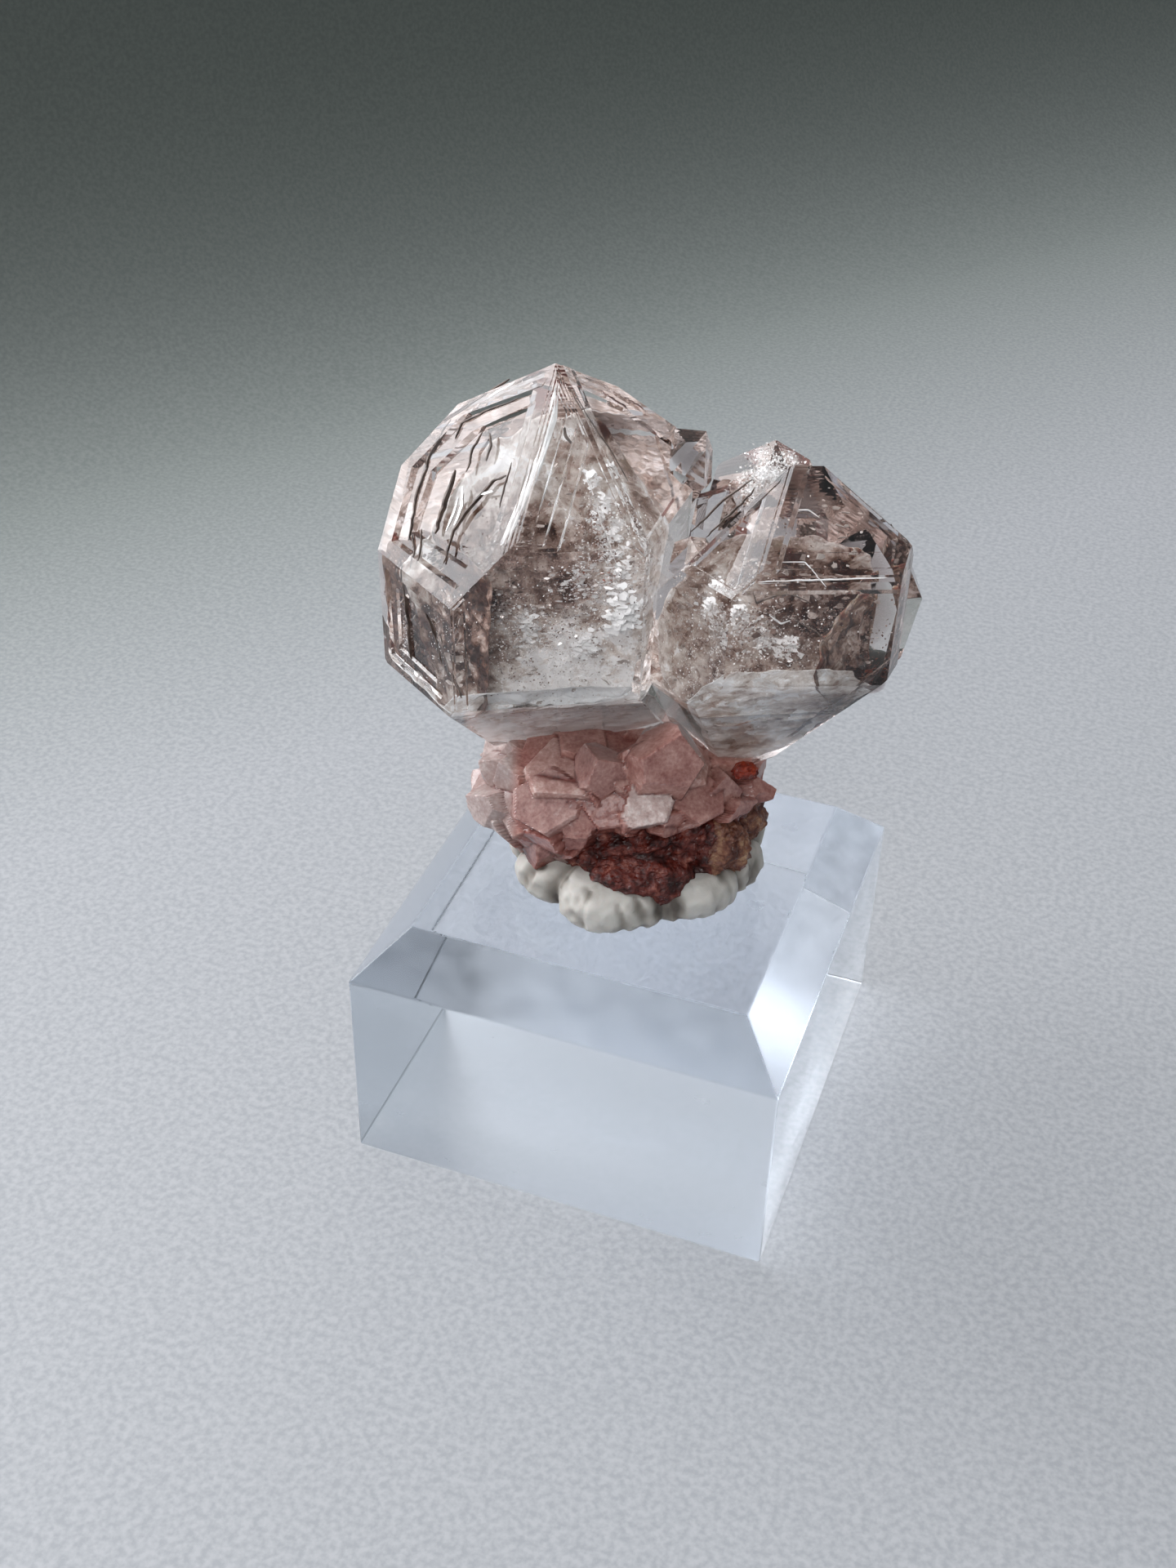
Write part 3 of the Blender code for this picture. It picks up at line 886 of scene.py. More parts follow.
@dataclass(frozen=True)
class Sheet:
    """A crumpled sheet across a crystal: the healed cracks behind a face, taken together.

    Spots are (u, z, radius, strength): where it is whiter or, below zero, smokier.
    """

    name: str
    habit: Habit
    centre: tuple[float, float, float]
    across: tuple[float, float, float]
    reach: tuple[float, float]
    tone: float
    spots: tuple[tuple[float, float, float, float], ...]
    seed: int
    along: tuple[float, float, float] = (1.0, 0.0, 0.0)
    margin: float = 0.35
    crumple: float = 0.45
    rings: int = 120
    sides: int = 190

    def build(self, finish: bpy.types.Material) -> None:
        """Build the sheet as a closed lens that stops short of the crystal's faces.

        For an angle t and a share r from the middle (0) to the rim (1), a point is centre + r *
        limit(t) * (cos t * along + sin t * across) + (crumple * noise +- half thickness) * normal,
        where limit is the lesser of the way to the faces and of an ellipse, made ragged.

        Args:
            finish: The material of all veils.
        """
        s, t = wrap(0.006, 0.994, self.rings, self.sides)
        centre, along, across = np.array(self.centre), unit(np.array(self.along)), unit(np.array(self.across))
        direction = np.cos(t)[..., None] * along + np.sin(t)[..., None] * across
        planes, distances, _names = self.habit.planes()
        room = distances - self.margin - planes @ (centre - np.array(self.habit.centre))
        facing = direction @ planes.T
        wall = np.where(facing > 1e-6, np.maximum(room, 0.1) / np.maximum(facing, 1e-6), np.inf).min(-1)
        oval = 1.0 / np.hypot(np.cos(t) / self.reach[0], np.sin(t) / self.reach[1])
        ragged = 1.0 - 0.1 * np.abs(ripple(direction * 4.0, 2.0, self.seed, 4))
        share = 1.0 - np.abs(2.0 * s - 1.0)
        flat = centre + (share * np.minimum(wall, oval) * ragged)[..., None] * direction
        fade = np.clip((1.0 - share) * 5.0, 0.15, 1.0)
        folds = np.abs(ripple(flat, 2.6, self.seed + 2, 3))
        relief = self.crumple * fade * (ripple(flat, 3.0, self.seed + 1, 5) - 0.8 * folds)
        half = 0.05 * np.sign(0.5 - s) * np.sqrt(np.clip(1.0 - share**2, 0.0, 1.0)) + 0.02 * (1.0 - 2.0 * s)
        points = flat + (relief + half)[..., None] * np.cross(along, across)
        mottle = 0.13 * ripple(flat, 4.6, self.seed + 3, 2) + 0.16 * ripple(flat, 1.5, self.seed + 4, 3)
        tone = self.tone + mottle
        for u, z, radius, strength in self.spots:
            away = ((flat[..., 0] - u) ** 2 + (flat[..., 2] - z) ** 2) / radius**2
            tone = tone + strength * np.exp(-away) * (1.0 + 0.5 * ripple(flat, 0.9, self.seed + 5, 2))
        shape = points, ring_faces(self.rings, self.sides)
        values = {"tone": np.clip(tone, 0.0, 1.0)}
        make_piece(self.name, shape, finish, smooth=True, values=values)
        log.info("%s: tone %.2f, %d spots", self.name, self.tone, len(self.spots))


@dataclass(frozen=True)
class Cloud:
    """A cloud of grains, thinned to clots by noise: how many, how far it spreads, clot size."""

    centre: tuple[float, float, float]
    radii: tuple[float, float, float]
    count: int
    clot_mm: float = 1.2
    thinning: float = 0.0
    largest: float = 0.11

    def grains(self, rng: np.random.Generator) -> tuple[Array, Array]:
        """Scatter the grains where the noise is over the thinning.

        Args:
            rng: Random numbers.

        Returns:
            Centres and sizes.
        """
        centres = np.array(self.centre) + rng.normal(0.0, 0.5, (self.count, 3)) * np.array(self.radii)
        kept = centres[ripple(centres, self.clot_mm, 3 + self.count) > self.thinning]
        return kept, rng.uniform(0.03, self.largest, len(kept))


@dataclass(frozen=True)
class Line:
    """A line under a crystal face: points across and up the face from the centre's foot on it."""

    face: str
    points: tuple[tuple[float, float], ...]
    width: float
    depth: float = 0.5
    under: float = 0.15

    def build(self, habit: Habit, seed: int) -> Shape:
        """Build the line as a blade that wanders by about its own width.

        Args:
            habit: The crystal it lies in.
            seed: Seed of its wandering.

        Returns:
            Corners and faces.
        """
        foot, normal, up, right = habit.face_frame(self.face)
        flat = smooth_path(np.array(self.points), 6 * len(self.points))
        path = foot + flat[:, :1] * right + flat[:, 1:] * up - self.under * normal
        wander = ripple(path, 1.1, seed)[:, None]
        path = path + (0.07 * wander) * right - np.abs(0.1 * wander) * normal
        return blade(path, -normal, 0.65 * self.width, 0.5 * self.depth)


@dataclass
class ClearCrystals:
    """The fused clear crystals with what has grown into them.

    A row of glints is a middle (u, v, z), a number of plates and the size of their spread. The
    ridge path runs down the left crystal's front tip face, across and up it as in Line.
    """

    seed: int = 7
    quartz: NaturalQuartz = field(default_factory=NaturalQuartz)
    pearl_veils: tuple[Veil, ...] = (
        Veil((-3.2, -3.9, 50.6), (1.2, 0.0, -4.0), (0.5, 0.5, 0.2), 240, 0.06, 0.29, 0.3),
        Veil((-3.4, -3.9, 47.0), (3.0, 0.6, -1.8), (0.9, 0.4, 2.2), 530, 0.05, 0.34),
        Veil((-7.8, -3.9, 44.2), (3.2, -0.2, -1.6), (0.9, 0.8, 1.9), 530, 0.05, 0.27),
        Veil((-6.0, -3.2, 40.4), (3.6, 0.4, -0.8), (0.6, 1.4, 1.8), 300, 0.05, 0.21),
        Veil((-15.0, -0.6, 41.0), (0.7, 0.9, 3.4), (1.0, 0.6, 0.2), 270, 0.06, 0.29),
        Veil((6.4, -4.2, 44.6), (3.0, 0.4, -1.4), (0.6, 0.7, 1.5), 420, 0.05, 0.29),
        Veil((9.4, -3.6, 40.0), (4.0, 0.6, -0.6), (0.6, 1.0, 2.0), 260, 0.05, 0.3),
        Veil((3.6, -2.6, 41.5), (1.2, 0.3, -3.0), (0.8, 1.0, 0.6), 210, 0.05, 0.22),
        Veil((3.2, -1.2, 49.6), (1.5, 0.2, 1.6), (0.9, 0.8, -0.9), 170, 0.06, 0.3),
        Veil((-14.6, -2.6, 51.4), (0.5, 0.0, 1.6), (0.4, 0.3, 0.1), 50, 0.06, 0.27, 0.15),
    )
    sheets: tuple[Sheet, ...] = (
        Sheet(
            "veil_left_front", LEFT, (-6.6, -3.0, 44.0), (0.0, 0.3, 1.0), (12.0, 13.0), 0.54,
            (
                (-3.9, 52.6, 0.5, 0.3), (-3.1, 50.9, 0.6, 0.35), (-2.4, 49.2, 0.6, 0.35),
                (-1.75, 47.7, 0.7, 0.4), (-1.15, 45.3, 0.9, 0.7), (-9.6, 47.2, 0.7, 0.25),
                (-8.0, 43.8, 0.9, 0.3), (-5.3, 43.6, 1.0, 0.25), (-3.7, 41.0, 2.6, 0.3),
                (-3.0, 38.2, 3.6, 0.5), (0.2, 38.6, 2.0, 0.3), (-7.4, 38.4, 3.0, 0.45),
                (-9.2, 48.4, 2.4, -0.22), (-6.2, 48.6, 1.8, -0.16), (-3.4, 48.2, 0.9, -0.14),
                (-13.6, 41.6, 2.6, -0.7), (-10.6, 40.0, 2.4, -0.2), (-11.6, 45.4, 1.6, -0.4),
                (-8.4, 40.4, 1.4, -0.1), (-5.4, 46.0, 1.2, -0.1), (-3.4, 55.6, 1.3, -0.5),
                (-1.6, 53.6, 1.4, -0.2), (-8.6, 52.4, 2.2, 0.1), (-5.0, 54.0, 1.0, 0.12),
                (-6.0, 51.4, 1.2, -0.1),
            ),
            110,
        ),
        Sheet(
            "veil_right_front", RIGHT, (9.2, -3.2, 42.4), (0.0, 0.25, 1.0), (8.4, 6.8), 0.38,
            (
                (5.6, 45.6, 0.8, 0.35), (9.0, 43.1, 0.9, 0.4), (7.4, 43.6, 0.6, 0.3),
                (7.8, 38.5, 1.0, 0.2), (14.8, 40.3, 2.8, -0.9), (12.0, 44.5, 2.4, -0.32),
                (9.4, 45.8, 2.0, -0.34), (13.2, 38.6, 0.5, 0.2), (4.0, 41.0, 2.2, 0.16),
                (11.2, 41.2, 0.8, 0.25), (12.6, 42.4, 0.5, 0.25), (8.4, 38.6, 2.4, 0.16),
                (10.8, 47.6, 1.2, 0.12),
            ),
            120,
        ),
        Sheet(
            "veil_left_corner", LEFT, (-12.2, -3.8, 41.6), (0.0, 0.0, 1.0), (8.0, 8.0), 0.04,
            (
                (-12.0, 45.0, 1.0, 0.3), (-13.0, 43.0, 0.7, 0.3),
                (-11.6, 41.0, 0.7, 0.4), (-12.6, 39.6, 0.6, 0.3),
            ),
            150, (0.62, -0.78, 0.0),
        ),
        Sheet(
            "veil_right_corner", RIGHT, (13.8, -3.6, 41.4), (0.0, 0.0, 1.0), (6.0, 6.0), 0.08,
            ((14.4, 40.0, 2.0, -0.4), (14.0, 44.0, 1.0, 0.2)), 160, (0.6, 0.8, 0.0),
        ),
        Sheet(
            "veil_left_under", LEFT, (-6.1, -3.0, 36.7), (0.106, -0.65, 0.752), (11.0, 8.0), 1.05,
            ((-13.0, 37.0, 2.4, -0.6), (-3.0, 36.0, 2.4, 0.1)), 130, (0.993, 0.09, 0.08),
        ),
        Sheet(
            "veil_right_under", RIGHT, (7.4, -4.7, 38.0), (0.062, -0.541, 0.839), (8.0, 8.0), 0.68,
            ((13.0, 38.0, 2.4, -0.5),), 140, (0.991, 0.079, 0.052),
        ),
        Sheet(
            "veil_right_heel", RIGHT, (13.1, -4.0, 39.0), (0.543, -0.268, 0.796), (6.0, 6.0), 0.06,
            ((12.0, 40.6, 0.8, 0.3), (15.0, 40.4, 0.6, 0.25)), 170, (0.443, 0.897, 0.0),
        ),
        Sheet("veil_left_foot", LEFT, (-6.4, 1.2, 38.6), (0.0, 1.0, 0.12), (12.0, 12.0), 0.68, (), 180),
        Sheet("veil_right_foot", RIGHT, (9.2, 0.6, 38.8), (0.0, 1.0, 0.1), (12.0, 12.0), 0.5, (), 190),
    )
    tan_veils: tuple[Veil, ...] = (
        Veil((-6.8, -3.2, 42.4), (6.4, 0.0, 0.0), (0.0, 0.5, 6.2), 450, 0.14, 0.7, 1.6, 0.8, True),
        Veil((-5.0, -3.0, 50.4), (4.0, 0.0, 0.0), (0.0, 1.2, 4.0), 90, 0.1, 0.5, 1.4, 0.8, True),
        Veil((-14.2, -0.8, 41.4), (1.6, 1.8, 0.0), (0.0, 0.0, 5.4), 130, 0.12, 0.6, 1.2, 0.4, True),
        Veil((5.2, -3.0, 41.2), (3.4, 0.3, 0.0), (0.0, 0.0, 5.8), 270, 0.12, 0.6, 1.4, 0.6, True),
        Veil((11.4, -2.8, 42.6), (4.2, 0.6, 0.0), (0.0, 0.0, 4.6), 280, 0.12, 0.6, 1.4, 0.6, True),
        Veil((3.0, -1.4, 48.6), (2.4, 0.4, 0.6), (0.0, 0.6, 3.4), 90, 0.1, 0.45, 1.0, 0.5, True),
        Veil((9.8, -3.6, 50.6), (3.8, 0.4, 0.0), (0.0, 1.2, 2.4), 70, 0.1, 0.5, 1.0, 0.5, True),
    )
    dark_veils: tuple[Veil, ...] = (
        Veil((-10.2, -3.6, 45.8), (2.6, 0.2, 2.0), (0.7, 0.6, -1.4), 90, 0.06, 0.34),
        Veil((-14.4, -0.6, 40.4), (1.0, 0.9, 3.4), (1.6, 1.6, -0.4), 520, 0.08, 0.5),
        Veil((8.6, -4.4, 45.0), (3.0, 0.5, -0.8), (0.6, 0.8, 1.6), 120, 0.06, 0.4),
        Veil((13.6, -2.8, 40.4), (2.4, 0.4, 1.6), (0.8, 1.0, -1.4), 420, 0.06, 0.4),
        Veil((-13.4, -2.4, 47.4), (0.9, 0.0, -1.0), (0.5, 0.3, 0.5), 60, 0.08, 0.36, 0.2),
    )
    rust_veils: tuple[Veil, ...] = (
        Veil((14.2, -3.2, 40.2), (1.8, 0.3, 1.4), (0.6, 0.8, -1.1), 420, 0.06, 0.36),
        Veil((-2.8, -3.8, 47.6), (1.6, 0.2, -2.2), (0.6, 0.6, 0.9), 30, 0.05, 0.18),
    )
    white_clouds: tuple[Cloud, ...] = (
        Cloud((-3.4, -4.0, 39.8), (5.0, 2.0, 4.6), 4500, 2.2, -0.4, 0.11),
        Cloud((-6.6, -4.6, 43.0), (7.4, 1.2, 4.2), 2700, 1.0, -0.05, 0.12),
        Cloud((-2.2, -3.6, 49.6), (3.4, 1.8, 5.4), 1600, 1.3, 0.0, 0.12),
        Cloud((6.4, -3.6, 40.4), (5.4, 2.2, 4.6), 2700, 1.3, -0.15, 0.12),
        Cloud((8.4, -4.6, 44.6), (4.6, 1.2, 2.6), 1000, 0.9, 0.15, 0.12),
        Cloud((2.8, -1.6, 48.4), (2.8, 2.0, 3.6), 1000, 0.9, 0.0, 0.12),
        Cloud((-11.0, -1.4, 52.0), (3.6, 1.6, 5.0), 400, 1.5, 0.2, 0.07),
    )
    brown_clouds: tuple[Cloud, ...] = (
        Cloud((-8.4, -4.4, 48.2), (5.0, 1.4, 4.6), 2500, 0.9, 0.0, 0.13),
        Cloud((-3.4, -3.8, 46.0), (4.2, 1.4, 5.0), 1300, 0.8, 0.15, 0.12),
        Cloud((-8.4, -4.0, 39.6), (5.4, 1.8, 4.0), 1600, 0.9, 0.1, 0.12),
        Cloud((-14.6, -0.4, 40.4), (2.2, 2.4, 5.6), 1400, 0.8, 0.0, 0.15),
        Cloud((11.0, -4.4, 44.0), (4.8, 1.8, 3.8), 2000, 0.9, 0.0, 0.14),
        Cloud((13.4, -2.8, 39.8), (3.8, 2.0, 3.2), 1900, 1.0, -0.1, 0.15),
        Cloud((-3.0, -0.9, 56.0), (2.6, 1.0, 2.0), 700, 0.9, 0.0, 0.12),
        Cloud((9.6, -4.6, 52.0), (4.4, 1.0, 3.0), 700, 1.1, 0.2, 0.12),
    )
    glints: tuple[tuple[float, float, float, float, float], ...] = (
        (-1.5, -4.8, 45.4, 110, 1.0),
        (-3.9, -1.2, 52.6, 34, 0.5),
        (-3.1, -1.7, 50.9, 40, 0.5),
        (-2.4, -2.2, 49.2, 40, 0.5),
        (-1.8, -2.8, 47.7, 44, 0.6),
        (-7.6, -3.9, 44.0, 40, 0.7),
        (-4.0, -4.4, 42.6, 40, 0.7),
        (5.6, -3.4, 45.6, 30, 0.6),
        (7.4, -3.9, 43.6, 30, 0.6),
        (9.0, -4.1, 43.1, 40, 0.7),
        (11.2, -4.6, 41.2, 30, 0.6),
        (7.8, -4.6, 39.5, 30, 0.6),
    )
    frost: Cloud = Cloud((8.3, 4.2, 49.6), (1.8, 1.5, 2.0), 6000, 0.7, -0.2, 0.16)
    ribs: int = 26
    ridge_path: tuple[tuple[float, float], ...] = (
        (0.6, 12.6), (0.3, 10.2), (-0.6, 8.0), (-2.1, 5.0), (-3.3, 2.7),
    )
    left_dark: tuple[Line, ...] = (
        Line("t5", ((-6.1, 7.2), (-6.3, 4.4), (-5.5, 1.6), (-4.1, -0.8)), 0.09, 0.7),
        Line("t5", ((-2.4, 7.9), (-1.8, 7.3), (-1.5, 6.3)), 0.09, 0.4),
        Line("t5", ((-3.0, 7.7), (-3.1, 6.4), (-2.5, 5.0)), 0.07, 0.4),
        Line("t5", ((0.5, 6.3), (-0.1, 5.5), (-0.5, 4.1), (-0.9, 2.8), (-1.0, 1.5), (-0.3, -0.6)), 0.09, 0.6),
        Line("t5", ((-3.5, 4.7), (-3.1, 2.8), (-2.4, 0.6)), 0.12, 0.8),
        Line("t5", ((-4.9, 6.3), (-5.1, 7.4), (-3.7, 8.9), (-1.7, 10.7)), 0.06, 0.5),
        Line("t5", ((-6.0, 7.4), (-5.0, 8.9), (-4.0, 10.4), (-3.2, 11.4)), 0.05, 0.6),
        Line("t5", ((-3.6, 0.3), (-2.9, -0.6), (-2.3, -1.7)), 0.06, 0.4),
        Line("t5", ((-4.2, -0.3), (-3.2, -1.1), (-2.6, -2.2)), 0.05, 0.4),
        Line("t5", ((1.6, 4.4), (1.0, 5.8), (0.6, 7.2)), 0.04, 0.3),
        Line("t0", ((0.8, 9.7), (0.9, 9.1), (1.2, 8.6)), 0.16, 0.5, 0.4),
        Line("t0", ((1.1, 12.4), (2.2, 10.4), (3.4, 8.6), (4.6, 6.2)), 0.07, 0.7, 0.5),
        Line("m5", ((-3.4, 4.4), (-3.3, 0.6), (-3.0, -3.4)), 0.07, 0.6),
        Line("m5", ((0.8, 1.2), (1.6, -1.0), (3.0, -2.6)), 0.06, 0.5),
        Line("m5", ((-0.8, 2.0), (0.4, 0.2), (1.2, -2.4)), 0.06, 0.5),
    )
    left_pale: tuple[Line, ...] = (
        Line("t5", ((-2.2, 4.1), (-1.4, 3.1), (-1.1, 1.8)), 0.16, 0.4),
        Line("t5", ((-2.0, 3.4), (-1.7, 2.4), (-1.5, 1.2)), 0.1, 0.4),
        Line("t5", ((-4.0, 9.6), (-3.4, 10.5), (-2.6, 11.4)), 0.09, 0.3),
        Line("t5", ((-0.4, 4.4), (0.4, 5.0)), 0.12, 0.3),
        Line("t0", ((1.8, 7.1), (2.4, 5.2), (2.7, 3.7), (3.7, 0.6)), 0.05, 0.2, 0.6),
    )
    right_dark: tuple[Line, ...] = (
        Line("t5", ((-2.1, 0.9), (-1.2, 3.7), (0.0, 5.7)), 0.06, 0.4),
        Line("t5", ((-0.8, 1.1), (0.0, 3.7), (0.6, 5.3)), 0.05, 0.4),
        Line("t0", ((-1.4, 4.2), (-0.3, 4.1), (0.3, 3.7)), 0.05, 0.25),
        Line("m0", ((-3.8, 5.0), (-3.5, 4.2), (-1.7, 5.0), (-0.1, 4.2)), 0.08, 0.8),
        Line("m0", ((-1.0, 3.0), (0.6, 2.2), (1.8, 0.4)), 0.06, 0.6),
    )
    right_pale: tuple[Line, ...] = (
        Line("t0", ((-2.3, 1.0), (-0.5, 1.0), (0.7, -0.6)), 0.06, 0.3),
        Line("t0", ((-1.2, 4.3), (-0.2, 4.3), (0.5, 3.8)), 0.07, 0.2),
        Line("m0", ((-3.6, 5.6), (0.4, 5.7), (4.7, 5.8)), 0.05, 0.3),
        Line("m0", ((-2.6, 3.4), (-1.8, 2.8), (-1.2, 3.0)), 0.1, 0.3),
    )

    def build(self) -> None:
        """Dress the CAD solid and put the inclusions in."""
        node = bpy.data.objects["clear_crystals"]
        glass = self.quartz.material()
        for slot in node.material_slots:
            slot.material = glass
        node.visible_shadow = False
        log.info("clear_crystals keeps its solid, finish %s", glass.name)
        rng = np.random.default_rng(self.seed)
        pearly = Inclusion("pearly_flakes", "#ffffff", "#d2c8c3", 0.35, 0.16)
        smoky = Inclusion("smoky_flakes", "#7a6359", "#2a1814", 0.1, 0.35)
        clouded = Inclusion("clouded_flakes", "#c6bcb6", "#8f7e76", 0.0, 0.25, 0.5)
        rust = Inclusion("rust_flakes", "#a8593a", "#4a170e", 0.1, 0.35)
        self.flakes("pearl_flakes", self.pearl_veils, pearly, rng)
        self.flakes("smoky_flakes", self.dark_veils, smoky, rng)
        self.flakes("clouded_flakes", self.tan_veils, clouded, rng)
        self.flakes("rust_flakes", self.rust_veils, rust, rng)
        milk = Inclusion("milky_grains", "#ffffff", "#d8cfcb", 0.0, 0.5)
        clay = Inclusion("brown_grains", "#8f776d", "#4a3029", 0.0, 0.6)
        self.clouds("milky_clouds", self.white_clouds, milk, 0.25, rng)
        self.clouds("brown_clouds", self.brown_clouds, clay, 0.3, rng)
        frost = specks(*self.frost.grains(rng), rng)
        make_piece("frosted_patch", frost, milk.material())
        veil = HealedVeil().material()
        for sheet in self.sheets:
            sheet.build(veil)
        self.flash(rng)
        self.ridge(rng)
        dark = Inclusion("dark_cracks", "#6f5f56", "#2a1c18", 0.0, 0.4)
        bright = Inclusion("pale_cracks", "#ffffff", "#e4dcd8", 0.25, 0.15)
        self.lines("dark_cracks", ((LEFT, self.left_dark), (RIGHT, self.right_dark)), dark)
        self.lines("pale_cracks", ((LEFT, self.left_pale), (RIGHT, self.right_pale)), bright)
        self.smoke()

    def flakes(self, name: str, veils: tuple[Veil, ...], finish: Inclusion, rng: np.random.Generator) -> None:
        """Build one piece of the flakes of several veils.

        Args:
            name: The piece's name.
            veils: The veils.
            finish: Their finish.
            rng: Random numbers.
        """
        fields = [veil.flakes(rng) for veil in veils]
        centres, normals, sizes = (np.concatenate(rows) for rows in zip(*fields))
        inside = self.inside(centres, 0.4)
        shape = shards(centres[inside], normals[inside], sizes[inside], rng)
        make_piece(name, shape, finish.material())
        log.info("%s: %d flakes", name, int(inside.sum()))

    def clouds(
        self, name: str, clouds: tuple[Cloud, ...], finish: Inclusion, margin: float, rng: np.random.Generator
    ) -> None:
        """Build one piece of the grains of several clouds.

        Args:
            name: The piece's name.
            clouds: The clouds.
            finish: Their finish.
            margin: How far inside the crystals a grain has to lie, in millimetres.
            rng: Random numbers.
        """
        fields = [cloud.grains(rng) for cloud in clouds]
        centres, sizes = (np.concatenate(rows) for rows in zip(*fields))
        inside = self.inside(centres, margin)
        shape = specks(centres[inside], sizes[inside], rng)
        make_piece(name, shape, finish.material())
        log.info("%s: %d grains", name, int(inside.sum()))

    @staticmethod
    def inside(points: Array, margin: float) -> Array:
        """Say which points lie inside one of the large crystals.

        Args:
            points: The points, shape (n, 3).
            margin: How far inside the faces they have to lie.

        Returns:
            True or false for each.
        """
        found = np.zeros(len(points), bool)
        for habit in (LEFT, RIGHT):
            normals, distances, _names = habit.planes()
            reach = (points - np.array(habit.centre)) @ normals.T - distances
            found |= (reach < -margin).all(1)
        return found

    def flash(self, rng: np.random.Generator) -> None:
        """Build the bright plates of the opened cracks, densest in the largest one.

        Args:
            rng: Random numbers.
        """
        spots = np.repeat(np.array(self.glints), [int(row[3]) for row in self.glints], 0)
        spread = rng.normal(0.0, 1.0, (len(spots), 3)) * np.array([0.55, 0.2, 0.7]) * spots[:, 4:]
        centres = spots[:, :3] + spread
        kept = self.inside(centres, 0.3)
        normals = unit(np.array([-0.55, -0.75, 0.5]) + rng.normal(0.0, 0.2, (len(spots), 3)))
        sizes = rng.uniform(0.25, 0.85, len(spots)) * spots[:, 4]
        shape = shards(centres[kept], normals[kept], sizes[kept], rng)
        finish = Inclusion("opened_crack_plates", "#ffffff", "#ffffff", 0.0, 0.1)
        make_piece("crack_plates", shape, finish.material())
        log.info("crack_plates: %d plates", int(kept.sum()))

    def ridge(self, rng: np.random.Generator) -> None:
        """Build the bright bundle of ribs that falls from the left crystal's apex.

        Args:
            rng: Random numbers.
        """
        foot, normal, up, right = LEFT.face_frame("t0")
        fall = smooth_path(np.array(self.ridge_path), 60)
        parts = []
        for _rib in range(self.ribs):
            start = rng.uniform(0.0, 0.6)
            share = np.linspace(start, min(1.0, start + rng.uniform(0.25, 0.7)), 12)[:, None]
            flat = fall[(share[:, 0] * 59).astype(int)]
            spread = rng.uniform(-0.4, 0.12) * (0.3 + 0.7 * share)
            path = foot + (flat[:, :1] + spread) * right + flat[:, 1:] * up - rng.uniform(0.05, 0.45) * normal
            parts.append(blade(path, -normal, rng.uniform(0.03, 0.09), rng.uniform(0.05, 0.25)))
        finish = Inclusion("bright_growth_ribs", "#ffffff", "#ece8e6", 0.25, 0.1)
        make_piece("ridge_ribs", join(parts), finish.material())
        log.info("ridge_ribs: %d ribs", len(parts))

    @staticmethod
    def lines(name: str, groups: tuple[tuple[Habit, tuple[Line, ...]], ...], finish: Inclusion) -> None:
        """Build one piece of the lines under several crystals' faces.

        Args:
            name: The piece's name.
            groups: Each crystal with its lines.
            finish: Their finish.
        """
        parts = [line.build(habit, 70 + n) for habit, lines in groups for n, line in enumerate(lines)]
        make_piece(name, join(parts), finish.material())
        log.info("%s: %d lines", name, len(parts))

    @staticmethod
    def smoke() -> None:
        """Build the smoky colour zones, each a closed lump well inside the stone."""
        brown = SmokyZone("smoky_zone", "#9a7466", 170.0)
        deep = SmokyZone("deep_smoky_zone", "#6a3a2c", 420.0)
        red = SmokyZone("red_brown_zone", "#7a2c1c", 480.0)
        zones = (
            ("smoke_left_corner", brown, (-13.6, 0.2, 39.6), (2.0, 2.8, 3.4), 5),
            ("smoke_left_front", brown, (-8.0, -2.4, 47.6), (4.6, 1.7, 3.4), 9),
            ("smoke_left_tip", deep, (-3.2, -0.6, 56.0), (1.9, 0.9, 1.0), 6),
            ("smoke_right_middle", brown, (11.2, -1.6, 44.8), (4.4, 3.2, 3.6), 7),
            ("smoke_right_top", brown, (10.8, -2.0, 50.6), (4.0, 1.6, 1.8), 12),
            ("smoke_right_corner", red, (14.2, -2.2, 40.0), (2.4, 2.4, 2.0), 8),
            ("smoke_shoulder_tip", deep, (2.4, 4.1, 51.8), (1.0, 1.1, 1.2), 10),
        )
        for name, finish, centre, radii, seed in zones:
            shape = blob(centre, radii, 0.12, seed)
            piece = make_piece(name, shape, finish.material(), smooth=True)
            piece.visible_shadow = False
            log.info("%s at %s", name, centre)


# The pink crust


